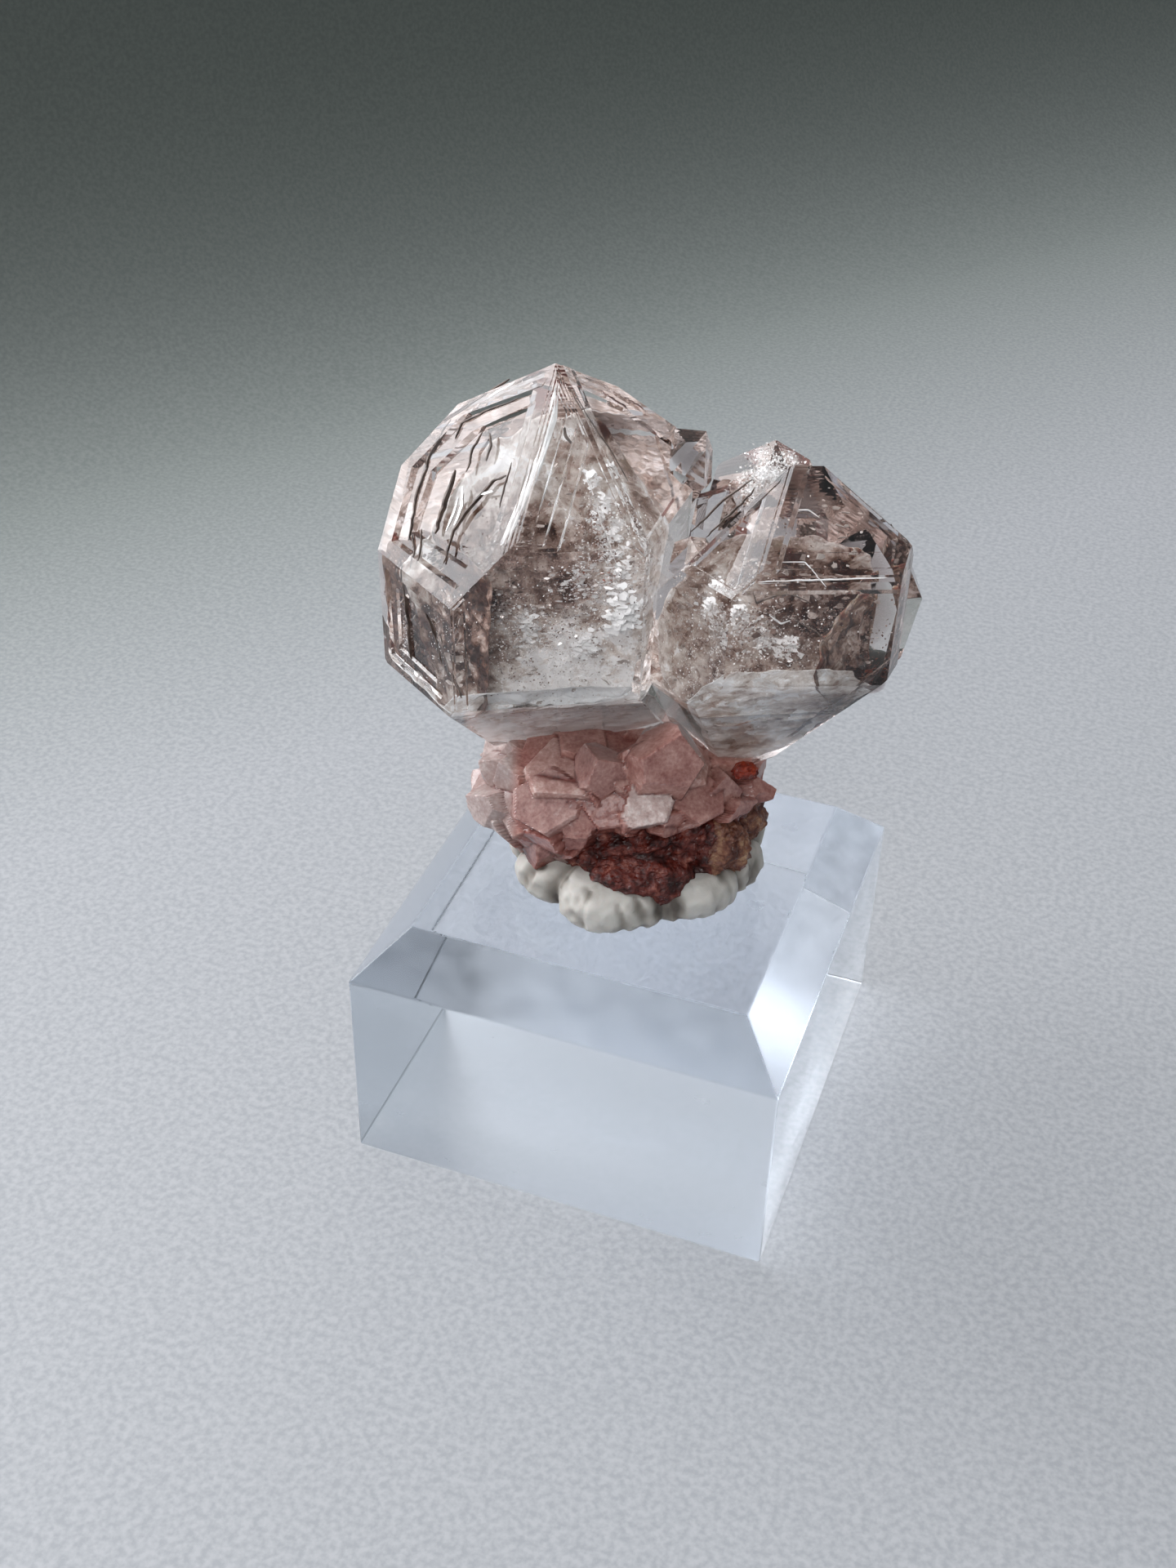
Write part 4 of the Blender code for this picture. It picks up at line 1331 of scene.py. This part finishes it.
@dataclass
class PinkCrust:
    """The crust of short pink quartz points on its stained matrix.

    A row of front is a crystal's place (u, v, z), its radius, how far it stands out and whether
    its tip is flat, and pale gives some of them a share of grey. A lump is a middle, half sizes
    and a stain. Below broken_below, which rises by broken_step at step_at, the skin is open to
    the matrix; below tucked_below it is drawn in, and at foot it is cut flat.
    """

    centre: tuple[float, float, float] = (-1.0, 0.3, 26.2)
    radii: tuple[float, float, float] = (9.3, 6.2, 5.3)
    squareness: float = 2.7
    foot: float = 22.4
    bare: float = 1.7
    fill: float = 0.6
    tuck: float = 0.17
    points: int = 150
    spacing: float = 1.6
    seed: int = 20
    lean: float = 26.0
    rings: int = 230
    sides: int = 390
    front: tuple[tuple[float, float, float, float, float, bool], ...] = (
        (1.3, -7.6, 31.2, 1.55, 2.9, True),
        (-2.3, -7.6, 31.2, 1.5, 1.8, True),
        (-7.9, -6.2, 30.4, 2.1, 1.7, True),
        (-4.9, -7.0, 29.6, 1.3, 1.7, True),
        (5.4, -6.0, 31.2, 1.9, 1.6, True),
        (-7.2, -5.4, 33.4, 2.3, 1.5, True),
        (-3.6, -6.0, 34.0, 1.8, 3.5, False),
        (-1.0, -6.4, 33.6, 1.4, 2.3, False),
        (1.0, -6.2, 34.6, 1.5, 3.6, False),
        (2.7, -5.6, 34.4, 2.1, 5.2, False),
        (3.8, -6.6, 32.6, 1.3, 2.1, False),
        (-0.5, -7.4, 32.2, 1.1, 2.0, False),
        (-3.9, -7.0, 31.9, 1.1, 1.9, False),
        (-0.5, -7.6, 30.0, 1.1, 1.8, False),
        (3.2, -7.4, 30.2, 1.1, 1.7, False),
        (7.6, -4.4, 31.2, 1.4, 2.1, False),
        (5.4, -4.6, 33.6, 1.8, 2.6, False),
        (-10.6, -3.0, 31.0, 1.5, 2.1, False),
        (-10.8, -2.4, 27.4, 1.6, 2.3, False),
        (-10.2, -0.5, 29.4, 1.5, 2.0, False),
        (9.4, -2.6, 28.8, 1.3, 2.6, False),
        (-6.6, -6.2, 27.2, 1.6, 1.5, False),
        (-1.4, -7.2, 28.8, 1.6, 1.5, False),
        (2.6, -7.0, 28.6, 1.4, 1.5, False),
    )
    pale: tuple[tuple[int, float], ...] = ((0, 0.6), (1, 0.15), (2, 0.35))
    red_spot: tuple[float, float, float] = (7.5, -4.4, 32.2)
    broken_below: float = 25.2
    broken_step: float = 3.0
    step_at: float = -3.4
    broken_from: float = -4.6
    clear_left_of: float = -8.2
    # Height above which the crust under the clear crystals is painted grey as their shade
    painted_shade_above: float = 32.4
    tucked_below: float = 26.4
    lumps: tuple[tuple[tuple[float, float, float], tuple[float, float, float], Stain], ...] = (
        ((0.6, -4.4, 25.6), (4.6, 3.0, 3.5), Stain.OXBLOOD),
        ((3.8, -4.0, 26.2), (2.8, 2.8, 3.0), Stain.OXBLOOD),
        ((-2.8, -4.4, 24.8), (2.8, 2.2, 2.6), Stain.OXBLOOD),
        ((1.0, -5.8, 24.4), (4.2, 2.7, 2.2), Stain.OXBLOOD),
        ((6.0, -4.4, 26.1), (2.2, 2.3, 2.6), Stain.GOLDEN),
        ((7.4, -0.6, 26.2), (2.2, 2.6, 2.4), Stain.GOLDEN),
        ((7.5, -3.7, 32.1), (0.9, 0.9, 0.45), Stain.HEMATITE),
    )

    def build(self) -> None:
        """Build the druse and the matrix."""
        self.druse()
        self.matrix()

    def skin(self, directions: Array) -> tuple[Array, Array]:
        """Find points of the crust's drum.

        The drum is a squared ellipsoid: shares of the radii, each raised to the squareness,
        add up to one.

        Args:
            directions: Directions from its middle, last axis 3.

        Returns:
            The drum's points there, and its outward normals.
        """
        radii = np.array(self.radii)
        total = (np.abs(directions / radii) ** self.squareness).sum(-1, keepdims=True)
        offset = directions / total ** (1.0 / self.squareness)
        slopes = np.sign(offset) * np.abs(offset / radii) ** (self.squareness - 1.0) / radii
        return np.array(self.centre) + offset, unit(slopes)

    def places(self) -> tuple[Array, Array, Array, Array]:
        """Say where the crystals stand.

        The chosen ones come first, and the rest follow a golden-angle spiral over the drum,
        where there is room.

        Returns:
            Their places, outward directions, radii and how far they stand out.
        """
        rng = np.random.default_rng(self.seed)
        chosen = np.array(self.front)
        place, normal = self.skin(chosen[:, :3] - np.array(self.centre))
        outward = unit(normal + np.array([0.0, 0.0, 0.15]))
        k = np.arange(self.points)
        height = 1.0 - 2.0 * (k + 0.5) / self.points
        turn = k * math.pi * (3.0 - math.sqrt(5.0))
        flat = np.sqrt(1.0 - height * height)
        more, slope = self.skin(np.stack([flat * np.cos(turn), flat * np.sin(turn), height], -1))
        radius = rng.uniform(1.3, 2.5, self.points)
        stand = rng.uniform(1.2, 2.2, self.points)
        tilt = unit(slope + rng.uniform(-0.2, 0.2, (self.points, 3)))
        stand = np.where(more[:, 1] < -2.0, stand - 0.3, stand)
        near = np.linalg.norm(more[:, None] - place[None], axis=-1).min(1)
        room = (near > self.spacing) & (more[:, 2] > self.foot + self.bare) & (height < 0.9)
        return (
            np.concatenate([place, more[room]]),
            np.concatenate([outward, tilt[room]]),
            np.concatenate([chosen[:, 3], radius[room]]),
            np.concatenate([chosen[:, 4], stand[room]]),
        )

    def crystals(self) -> tuple[Array, Array]:
        """Work out the planes of the short crystals.

        The axis is outward * cos(lean) + tangent * sin(lean); prism normals turn around it by
        sixths, and each tip normal is axis * cos(tip angle) + prism normal * sin(tip angle).
        Every other tip face is larger. A flat crystal stands straight, and a plane across its
        axis cuts the tip off at a hexagon of about its radius.

        Returns:
            Normals, and distances from the drum's middle.
        """
        place, outward, radius, stand = self.places()
        count = len(place)
        rng = np.random.default_rng(self.seed + 1)
        side, other = square_to(outward)
        turn = rng.uniform(0.0, 2.0 * math.pi, (count, 1))
        flat = np.zeros((count, 1), bool)
        flat[: len(self.front), 0] = [row[5] for row in self.front]
        flat[len(self.front) :, 0] = rng.uniform(size=count - len(self.front)) < 0.3
        lean = np.radians(np.where(flat, 4.0, self.lean) * rng.uniform(0.3, 1.0, (count, 1)))
        tangent = side * np.cos(turn) + other * np.sin(turn)
        axis = outward * np.cos(lean) + tangent * np.sin(lean)
        first = outward * np.sin(lean) - tangent * np.cos(lean)
        second = np.cross(axis, first)
        spin = np.radians(60.0 * np.arange(6))[:, None]
        out = first[:, None] * np.cos(spin) + second[:, None] * np.sin(spin)
        tips = axis[:, None] * math.cos(TIP_ANGLE) + out * math.sin(TIP_ANGLE)
        normals = np.concatenate([-outward[:, None], axis[:, None], out, tips], 1)
        uneven = rng.uniform(0.85, 1.15, (count, 6))
        prism = radius[:, None] * np.array([1.0, 1.1] * 3) * uneven
        point = stand[:, None] * math.cos(TIP_ANGLE) * np.array([1.0, 1.45] * 3) * uneven
        table = 0.62 * stand[:, None]
        cut = table * math.cos(TIP_ANGLE) + radius[:, None] * math.sin(TIP_ANGLE) * uneven
        root, beyond = np.full((count, 1), 2.5), 9.0
        top = np.where(flat, table, beyond)
        distances = np.concatenate([root, top, prism, np.where(flat, cut, point)], 1)
        offset = place - np.array(self.centre)
        return normals, distances + np.einsum("npk,nk->np", normals, offset)

    def reaches(self, ray: Array, filled: Array) -> tuple[Array, Array, Array, int]:
        """Work out how far the crust reaches along rays from the drum's middle.

        Along each ray, a crystal reaches as far as the nearest of the planes that the ray
        leaves by, distance / (normal . direction), if the ray is in it by then.

        Args:
            ray: Unit directions, last axis 3.
            filled: How far the filled drum reaches along each.

        Returns:
            The farthest and the second farthest reach, the number of the crystal that reaches
            farthest, which is -1 for the drum, and how many crystals there are.
        """
        best, second = filled, filled - 1.0
        owner = np.full(filled.shape, -1)
        normals, distances = self.crystals()
        for n, (planes, reach) in enumerate(zip(normals, distances)):
            facing = ray @ planes.T
            cut = reach / np.where(np.abs(facing) < 1e-6, 1e-6, facing)
            leave = np.where(facing > 0.0, cut, np.inf).min(-1)
            enter = np.where(facing < 0.0, cut, -np.inf).max(-1)
            height = np.where(leave > np.maximum(enter, 0.0), leave, 0.0)
            higher = height > best
            second = np.where(higher, best, np.maximum(second, height))
            best = np.where(higher, height, best)
            owner = np.where(higher, n, owner)
        return best, second, owner, len(normals)

    def broken_edge(self, drum: Array) -> Array:
        """Return the height below which the front is broken open to the matrix, higher at right."""
        step = 1.0 / (1.0 + np.exp(-(drum[..., 0] - self.step_at) / 0.5))
        return self.broken_below + self.broken_step * step * (drum[..., 1] < 1.0)

    def druse(self) -> None:
        """Build the crust's skin as the outermost of all its crystals and of the filled drum.

        The skin takes the farthest reach along each ray; where the two farthest agree is a
        suture. Below the broken edge it falls back behind the drum, low down it is drawn in
        towards its middle, and it ends flat on the foot.
        """
        ray = unit(ball(*wrap(0.03, math.pi - 0.03, self.rings, self.sides)) * np.array(self.radii))
        drum, _slope = self.skin(ray)
        middle = np.array(self.centre)
        flat = np.linalg.norm(drum - middle, axis=-1)
        fill = self.fill * (0.6 + 0.4 * ripple(drum, 3.0, 31))
        fill *= np.clip((drum[..., 2] - self.foot - self.bare + 0.6) / 1.2, 0.0, 1.0)
        best, second, owner, count = self.reaches(ray, flat + fill)
        edge = self.broken_edge(drum)
        open_low = np.clip((edge - drum[..., 2] + 0.6 * ripple(drum, 2.0, 37)) / 0.5, 0.0, 1.0)
        open_low *= drum[..., 0] > self.broken_from
        best += open_low * (np.minimum(best, flat - 0.3) - best)
        skin = middle + ray * best[..., None]
        sugar = ripple(skin, 0.9, 33, 3)
        skin = skin + ray * (0.025 * sugar)[..., None]
        patchy = np.clip(0.85 + 0.8 * ripple(skin, 3.5, 35, 2), 0.35, 1.0)
        suture = patchy * np.exp(-(((best - second) / (0.06 + 0.05 * patchy)) ** 2))
        rng = np.random.default_rng(self.seed + 2)
        tints = np.append(rng.uniform(0.0, 0.3, count), 0.1)
        for n, tint in self.pale:
            tints[n] = tint
        shade = np.append(rng.uniform(-0.8, 0.8, count), 0.0)[owner]
        clear = np.clip(self.clear_left_of - skin[..., 0], 0.0, 0.8)
        # Painted shade: high up and behind the front, where the crust lies under the clear crystals, it is
        # greyed as their shadow
        under = np.clip((skin[..., 2] - self.painted_shade_above) / 1.6, 0.0, 0.9) * (skin[..., 1] > -3.2)
        spot = np.linalg.norm((skin - np.array(self.red_spot)) / np.array([1.0, 2.0, 0.7]), axis=-1)
        low = np.clip((edge + 0.8 - skin[..., 2] + 0.5 * sugar) / 1.4, 0.0, 0.85)
        squeeze = 1.0 - self.tuck * np.clip((self.tucked_below - skin[..., 2]) / 3.0, 0.0, 1.0)
        skin[..., :2] = middle[:2] + (skin[..., :2] - middle[:2]) * squeeze[..., None]
        skin[..., 2] = np.maximum(skin[..., 2], self.foot)
        values = {
            "suture": suture,
            "tint": np.maximum(np.maximum(tints[owner], clear), under),
            "stain": np.clip(np.maximum(1.6 - spot, low), 0.0, 1.0),
            "rise": np.clip((best - flat) / 1.6, 0.0, 1.0) + shade,
        }
        shape = skin, ring_faces(self.rings, self.sides)
        make_piece("pink_druse", shape, PinkDruse().material(), "pink_crust", values=values)
        log.info("pink_druse: %d crystals", count)

    def matrix(self) -> None:
        """Build the broken lumps of matrix low at the front and right, one piece to a stain."""
        for stain in Stain:
            chosen = [n for n, lump in enumerate(self.lumps) if lump[2] is stain]
            balls = [blob(self.lumps[n][0], self.lumps[n][1], 0.16, 40 + n, 60, 90) for n in chosen]
            points, faces = join(balls)
            crumb = ripple(points, 1.1, 51, 4)
            crag = np.abs(ripple(points, 1.5, 53, 4))
            middle = np.array([2.0, -2.0, 26.0])
            points = points + unit(points - middle) * (0.25 * crumb - 0.5 * crag)[:, None]
            points[:, 2] = np.maximum(points[:, 2], self.foot)
            name, material = f"{stain.name.lower()}_matrix", IronMatrix(stain).material()
            make_piece(name, (points, faces), material, "pink_crust")
            log.info("%s: %d lumps", name, len(chosen))


# The putty


@dataclass
class PuttyPad:
    """The pressed pad of mineral tack, with lobes, folds and thumb dents."""

    centre: tuple[float, float, float] = (-0.1, -0.6, 20.7)
    radius: float = 9.1
    bulge: float = 1.0
    height: float = 4.4
    creases: int = 9
    top: float = 24.7
    rings: int = 90
    sides: int = 360

    def build(self) -> None:
        """Build the pad.

        Around the angle t and from underside to top s: radius = (R + sway + bulge * lobe * o)
        * o with o = |cos a| ** 0.55 and a = pi (s - 0.5); height = H (0.5 + 0.5 sign * |sin a|
        ** 0.75) (1 + 0.1 lobe o). Narrow folds are cut where lobes meet, and fine noise is
        added along the normal.
        """
        s, t = wrap(0.02, 0.98, self.rings, self.sides)
        phase = 0.5 * self.creases * t + 0.9 * np.sin(2.0 * t)
        lobes = np.abs(np.sin(phase))
        lobe = lobes**0.6 - 0.6
        sway = 0.35 * np.sin(t + 0.6) + 0.3 * np.cos(3.0 * t)
        angle = math.pi * (s - 0.5)
        out = np.abs(np.cos(angle)) ** 0.55
        rise = 0.5 + 0.5 * np.sign(angle) * np.abs(np.sin(angle)) ** 0.75
        reach = (self.radius + sway + self.bulge * lobe * out) * out
        height = self.height * rise * (1.0 + 0.1 * lobe * out)
        base = np.stack([reach * np.cos(t), reach * np.sin(t), height], -1)
        knead = ripple(base, 4.2, 61, 4)
        dents = np.clip(ripple(base * np.array([1.0, 1.0, 0.6]), 1.5, 67, 3), -1.0, 0.0)
        pull = np.abs(np.sin(2.0 * phase + 1.4 * np.sin(3.0 * t)))
        fold = np.exp(-((lobes / 0.3) ** 2)) + 0.55 * np.exp(-((pull / 0.22) ** 2)) * (knead > -0.1)
        push = 0.34 * knead + 0.3 * dents - 0.2 * fold
        outward = np.stack([np.cos(t), np.sin(t), 0.5 * np.sin(angle)], -1)
        points = np.array(self.centre) + base + outward * (push * np.minimum(1.0, 3.0 * out))[..., None]
        points[..., 2] = np.clip(points[..., 2], self.centre[2], self.top)
        values = {"crease": np.clip(0.45 * fold - 0.5 * dents - 0.2 * knead, 0.0, 1.0)}
        shape, material = (points, ring_faces(self.rings, self.sides)), KneadedTack().material()
        make_piece("putty_lobes", shape, material, "putty_pad", True, values)
        log.info("putty_lobes: %d creases", self.creases)


# The acrylic block


@dataclass
class AcrylicBlock:
    """The display block: square, with its four top edges bevelled and its arrises eased."""

    side: float = 31.75
    height: float = 20.4
    inset: float = 3.45
    drop: float = 3.55
    arris: float = 0.12

    def build(self) -> None:
        """Build the block from three squares and ease its edges."""
        half = 0.5 * self.side
        corner = np.array([[-1.0, -1.0], [1.0, -1.0], [1.0, 1.0], [-1.0, 1.0]])
        levels = [(half, 0.0), (half, self.height - self.drop), (half - self.inset, self.height)]
        rings = [np.column_stack([corner * reach, np.full(4, level)]) for reach, level in levels]
        shape = np.concatenate(rings), ring_faces(3, 4)
        acrylic = CastAcrylic()
        block = make_piece(
            "display_block", shape, acrylic.polished(), "acrylic_block", turned=False
        )
        block.visible_shadow = False
        underside = len(block.data.polygons) - 2
        block.data.materials.append(acrylic.rubbed())
        block.data.polygons[underside].material_index = 1
        bevel = block.modifiers.new("eased_arrises", "BEVEL")
        bevel.width = self.arris * MM
        bevel.segments = 2
        bevel.limit_method = "ANGLE"
        bevel.angle_limit = math.radians(20.0)
        log.info("display_block: %.2f mm side", self.side)


# The studio


@dataclass
class Studio:
    """Camera at the photograph's angle, a pale sweep and soft light from the left.

    The place is in metres and the angles are in degrees.
    """

    place: tuple[float, float, float] = (0.0324625, -0.1042635, 0.10943904)
    pitch: float = 36.8426
    roll: float = 1.50023
    yaw: float = -19.1229
    focal_px: float = 2319.9
    frame_px: float = 1920.0

    def build(self) -> None:
        """Build camera, floor, lights and world."""
        self.camera()
        self.sweep()
        self.lights()
        self.world()

    def camera(self) -> None:
        """Aim the camera: forward from yaw and pitch, then rolled about it."""
        pitch, roll, yaw = (math.radians(a) for a in (self.pitch, self.roll, self.yaw))
        forward = Vector((math.sin(yaw) * math.cos(pitch), math.cos(yaw) * math.cos(pitch), -math.sin(pitch)))
        level = Vector((math.cos(yaw), -math.sin(yaw), 0.0))
        upright = level.cross(forward)
        right = math.cos(roll) * level + math.sin(roll) * upright
        top = -math.sin(roll) * level + math.cos(roll) * upright
        data = bpy.data.cameras.new("camera")
        data.sensor_fit = "AUTO"
        data.sensor_width = 36.0
        data.lens = self.focal_px / self.frame_px * 36.0
        data.clip_start = 0.005
        camera = bpy.data.objects.new("camera", data)
        turn = Matrix((right, top, -forward)).transposed().to_4x4()
        camera.matrix_world = Matrix.Translation(self.place) @ turn
        bpy.context.scene.collection.objects.link(camera)
        bpy.context.scene.camera = camera

    @staticmethod
    def sweep() -> None:
        """Build floor and backdrop as one sheet: flat, then a quarter round, then upright."""
        back, side = np.array([-0.79, 0.61, 0.0]), np.array([0.61, 0.79, 0.0])
        flat_end, radius, rim, sunk, columns = 0.11, 0.045, 0.06, 0.00005, 9
        bend = np.linspace(0.05, 0.5 * math.pi, 24)
        curve = flat_end + radius * np.sin(bend)
        along = np.concatenate([np.linspace(-2.0, flat_end, 12), curve, np.full(3, flat_end + radius)])
        upright = np.linspace(radius, rim, 4)[1:]
        height = np.concatenate([np.zeros(12), radius * (1.0 - np.cos(bend)), upright])
        a, w = np.meshgrid(np.arange(len(along)), np.linspace(-2.0, 2.0, columns), indexing="ij")
        points = along[a][..., None] * back + w[..., None] * side
        points[..., 2] = height[a] - sunk
        r, c = np.meshgrid(np.arange(len(along) - 1), np.arange(columns - 1), indexing="ij")
        first = r * columns + c
        faces = np.stack([first, first + columns, first + columns + 1, first + 1], -1).reshape(-1, 4)
        mesh = bpy.data.meshes.new("sweep")
        mesh.from_pydata(points.reshape(-1, 3).tolist(), [], faces.tolist())
        mesh.polygons.foreach_set("use_smooth", np.full(len(mesh.polygons), True))
        mesh.materials.append(Studio.board(tuple(back)))
        sweep = bpy.data.objects.new("sweep", mesh)
        bpy.context.scene.collection.objects.link(sweep)

    @staticmethod
    def board(back: tuple[float, float, float]) -> bpy.types.Material:
        """Build pale board, darkened to grey-green towards the back by painted shade.

        Args:
            back: The way back along the floor.

        Returns:
            The material with its nodes.
        """
        material, tree, shader, place = new_material("pale_board_with_painted_shade")
        # Painted shade: the board darkens with depth towards the back, where the shade falls.
        depth = add_node(tree, "VectorMath", {"operation": "DOT_PRODUCT", 1: back}, _0=place).outputs["Value"]
        far = add_node(tree, "MapRange", {"From Min": 0.05, "From Max": 0.16}, Value=depth)
        tone = colour_steps(tree, far, [(0.0, "#a9aaad"), (0.55, "#8f9491"), (1.0, "#5b615b")])
        grain = add_node(tree, "TexNoise", {"Scale": scale_for(0.5), "Detail": 3.0}, Vector=place)
        flecks = colour_steps(tree, grain, [(0.35, "#e6e8e9"), (0.65, "#ffffff")])
        multiply = {"data_type": "RGBA", "blend_type": "MULTIPLY", 0: 1.0}
        mixed = add_node(tree, "Mix", multiply, _6=tone, _7=flecks)
        bump = add_node(tree, "Bump", {"Strength": 0.15, "Distance": 0.1 * MM}, Height=grain)
        adjust(tree, shader, {"Roughness": 0.6}, Base_Color=mixed.outputs[2], Normal=bump)
        return material

    @staticmethod
    def lights() -> None:
        """Hang two soft boxes: a large one on the left, a faint one at the front right."""
        for name, place, size, power, colour in (
            ("soft_box_left", (-0.40, 0.02, 0.36), 0.5, 4.4, "#f6f8fc"),
            ("soft_box_front", (0.10, -0.60, 0.50), 0.35, 1.4, "#ffffff"),
        ):
            data = bpy.data.lights.new(name, "AREA")
            data.size = size
            data.energy = power
            data.color = linear(colour)[:3]
            light = bpy.data.objects.new(name, data)
            aim = Vector((0.0, 0.0, 0.03)) - Vector(place)
            light.matrix_world = Matrix.Translation(place) @ aim.to_track_quat("-Z", "Y").to_matrix().to_4x4()
            bpy.context.scene.collection.objects.link(light)

    @staticmethod
    def world() -> None:
        """Surround the set with a soft sky: brighter to the left, grey-green behind."""
        world = bpy.data.worlds.new("studio_sky")
        world.use_nodes = True
        tree = world.node_tree
        tree.nodes.clear()
        place = add_node(tree, "TexCoord").outputs["Generated"]
        lean = {"operation": "DOT_PRODUCT", 1: (-0.66, 0.42, 0.62)}
        side = add_node(tree, "VectorMath", lean, _0=place).outputs["Value"]
        bright = add_node(tree, "MapRange", {"From Min": -0.8, "From Max": 0.9}, Value=side)
        steps = [(0.0, "#6c6f70"), (0.4, "#a0a6a8"), (0.7, "#ccd2d8"), (1.0, "#f8f9fb")]
        sky = add_node(tree, "Background", {"Strength": 0.8}, Color=colour_steps(tree, bright, steps))
        add_node(tree, "OutputWorld", Surface=sky)
        bpy.context.scene.world = world
        bpy.context.scene.view_settings.view_transform = "Standard"


def main() -> None:
    """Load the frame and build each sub-assembly around it."""
    logging.basicConfig(level=logging.INFO, format="%(name)s: %(message)s")
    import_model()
    for assembly in (ClearCrystals(), PinkCrust(), PuttyPad(), AcrylicBlock(), Studio()):
        assembly.build()
        log.info("%s done", type(assembly).__name__)


if __name__ == "__main__":
    main()
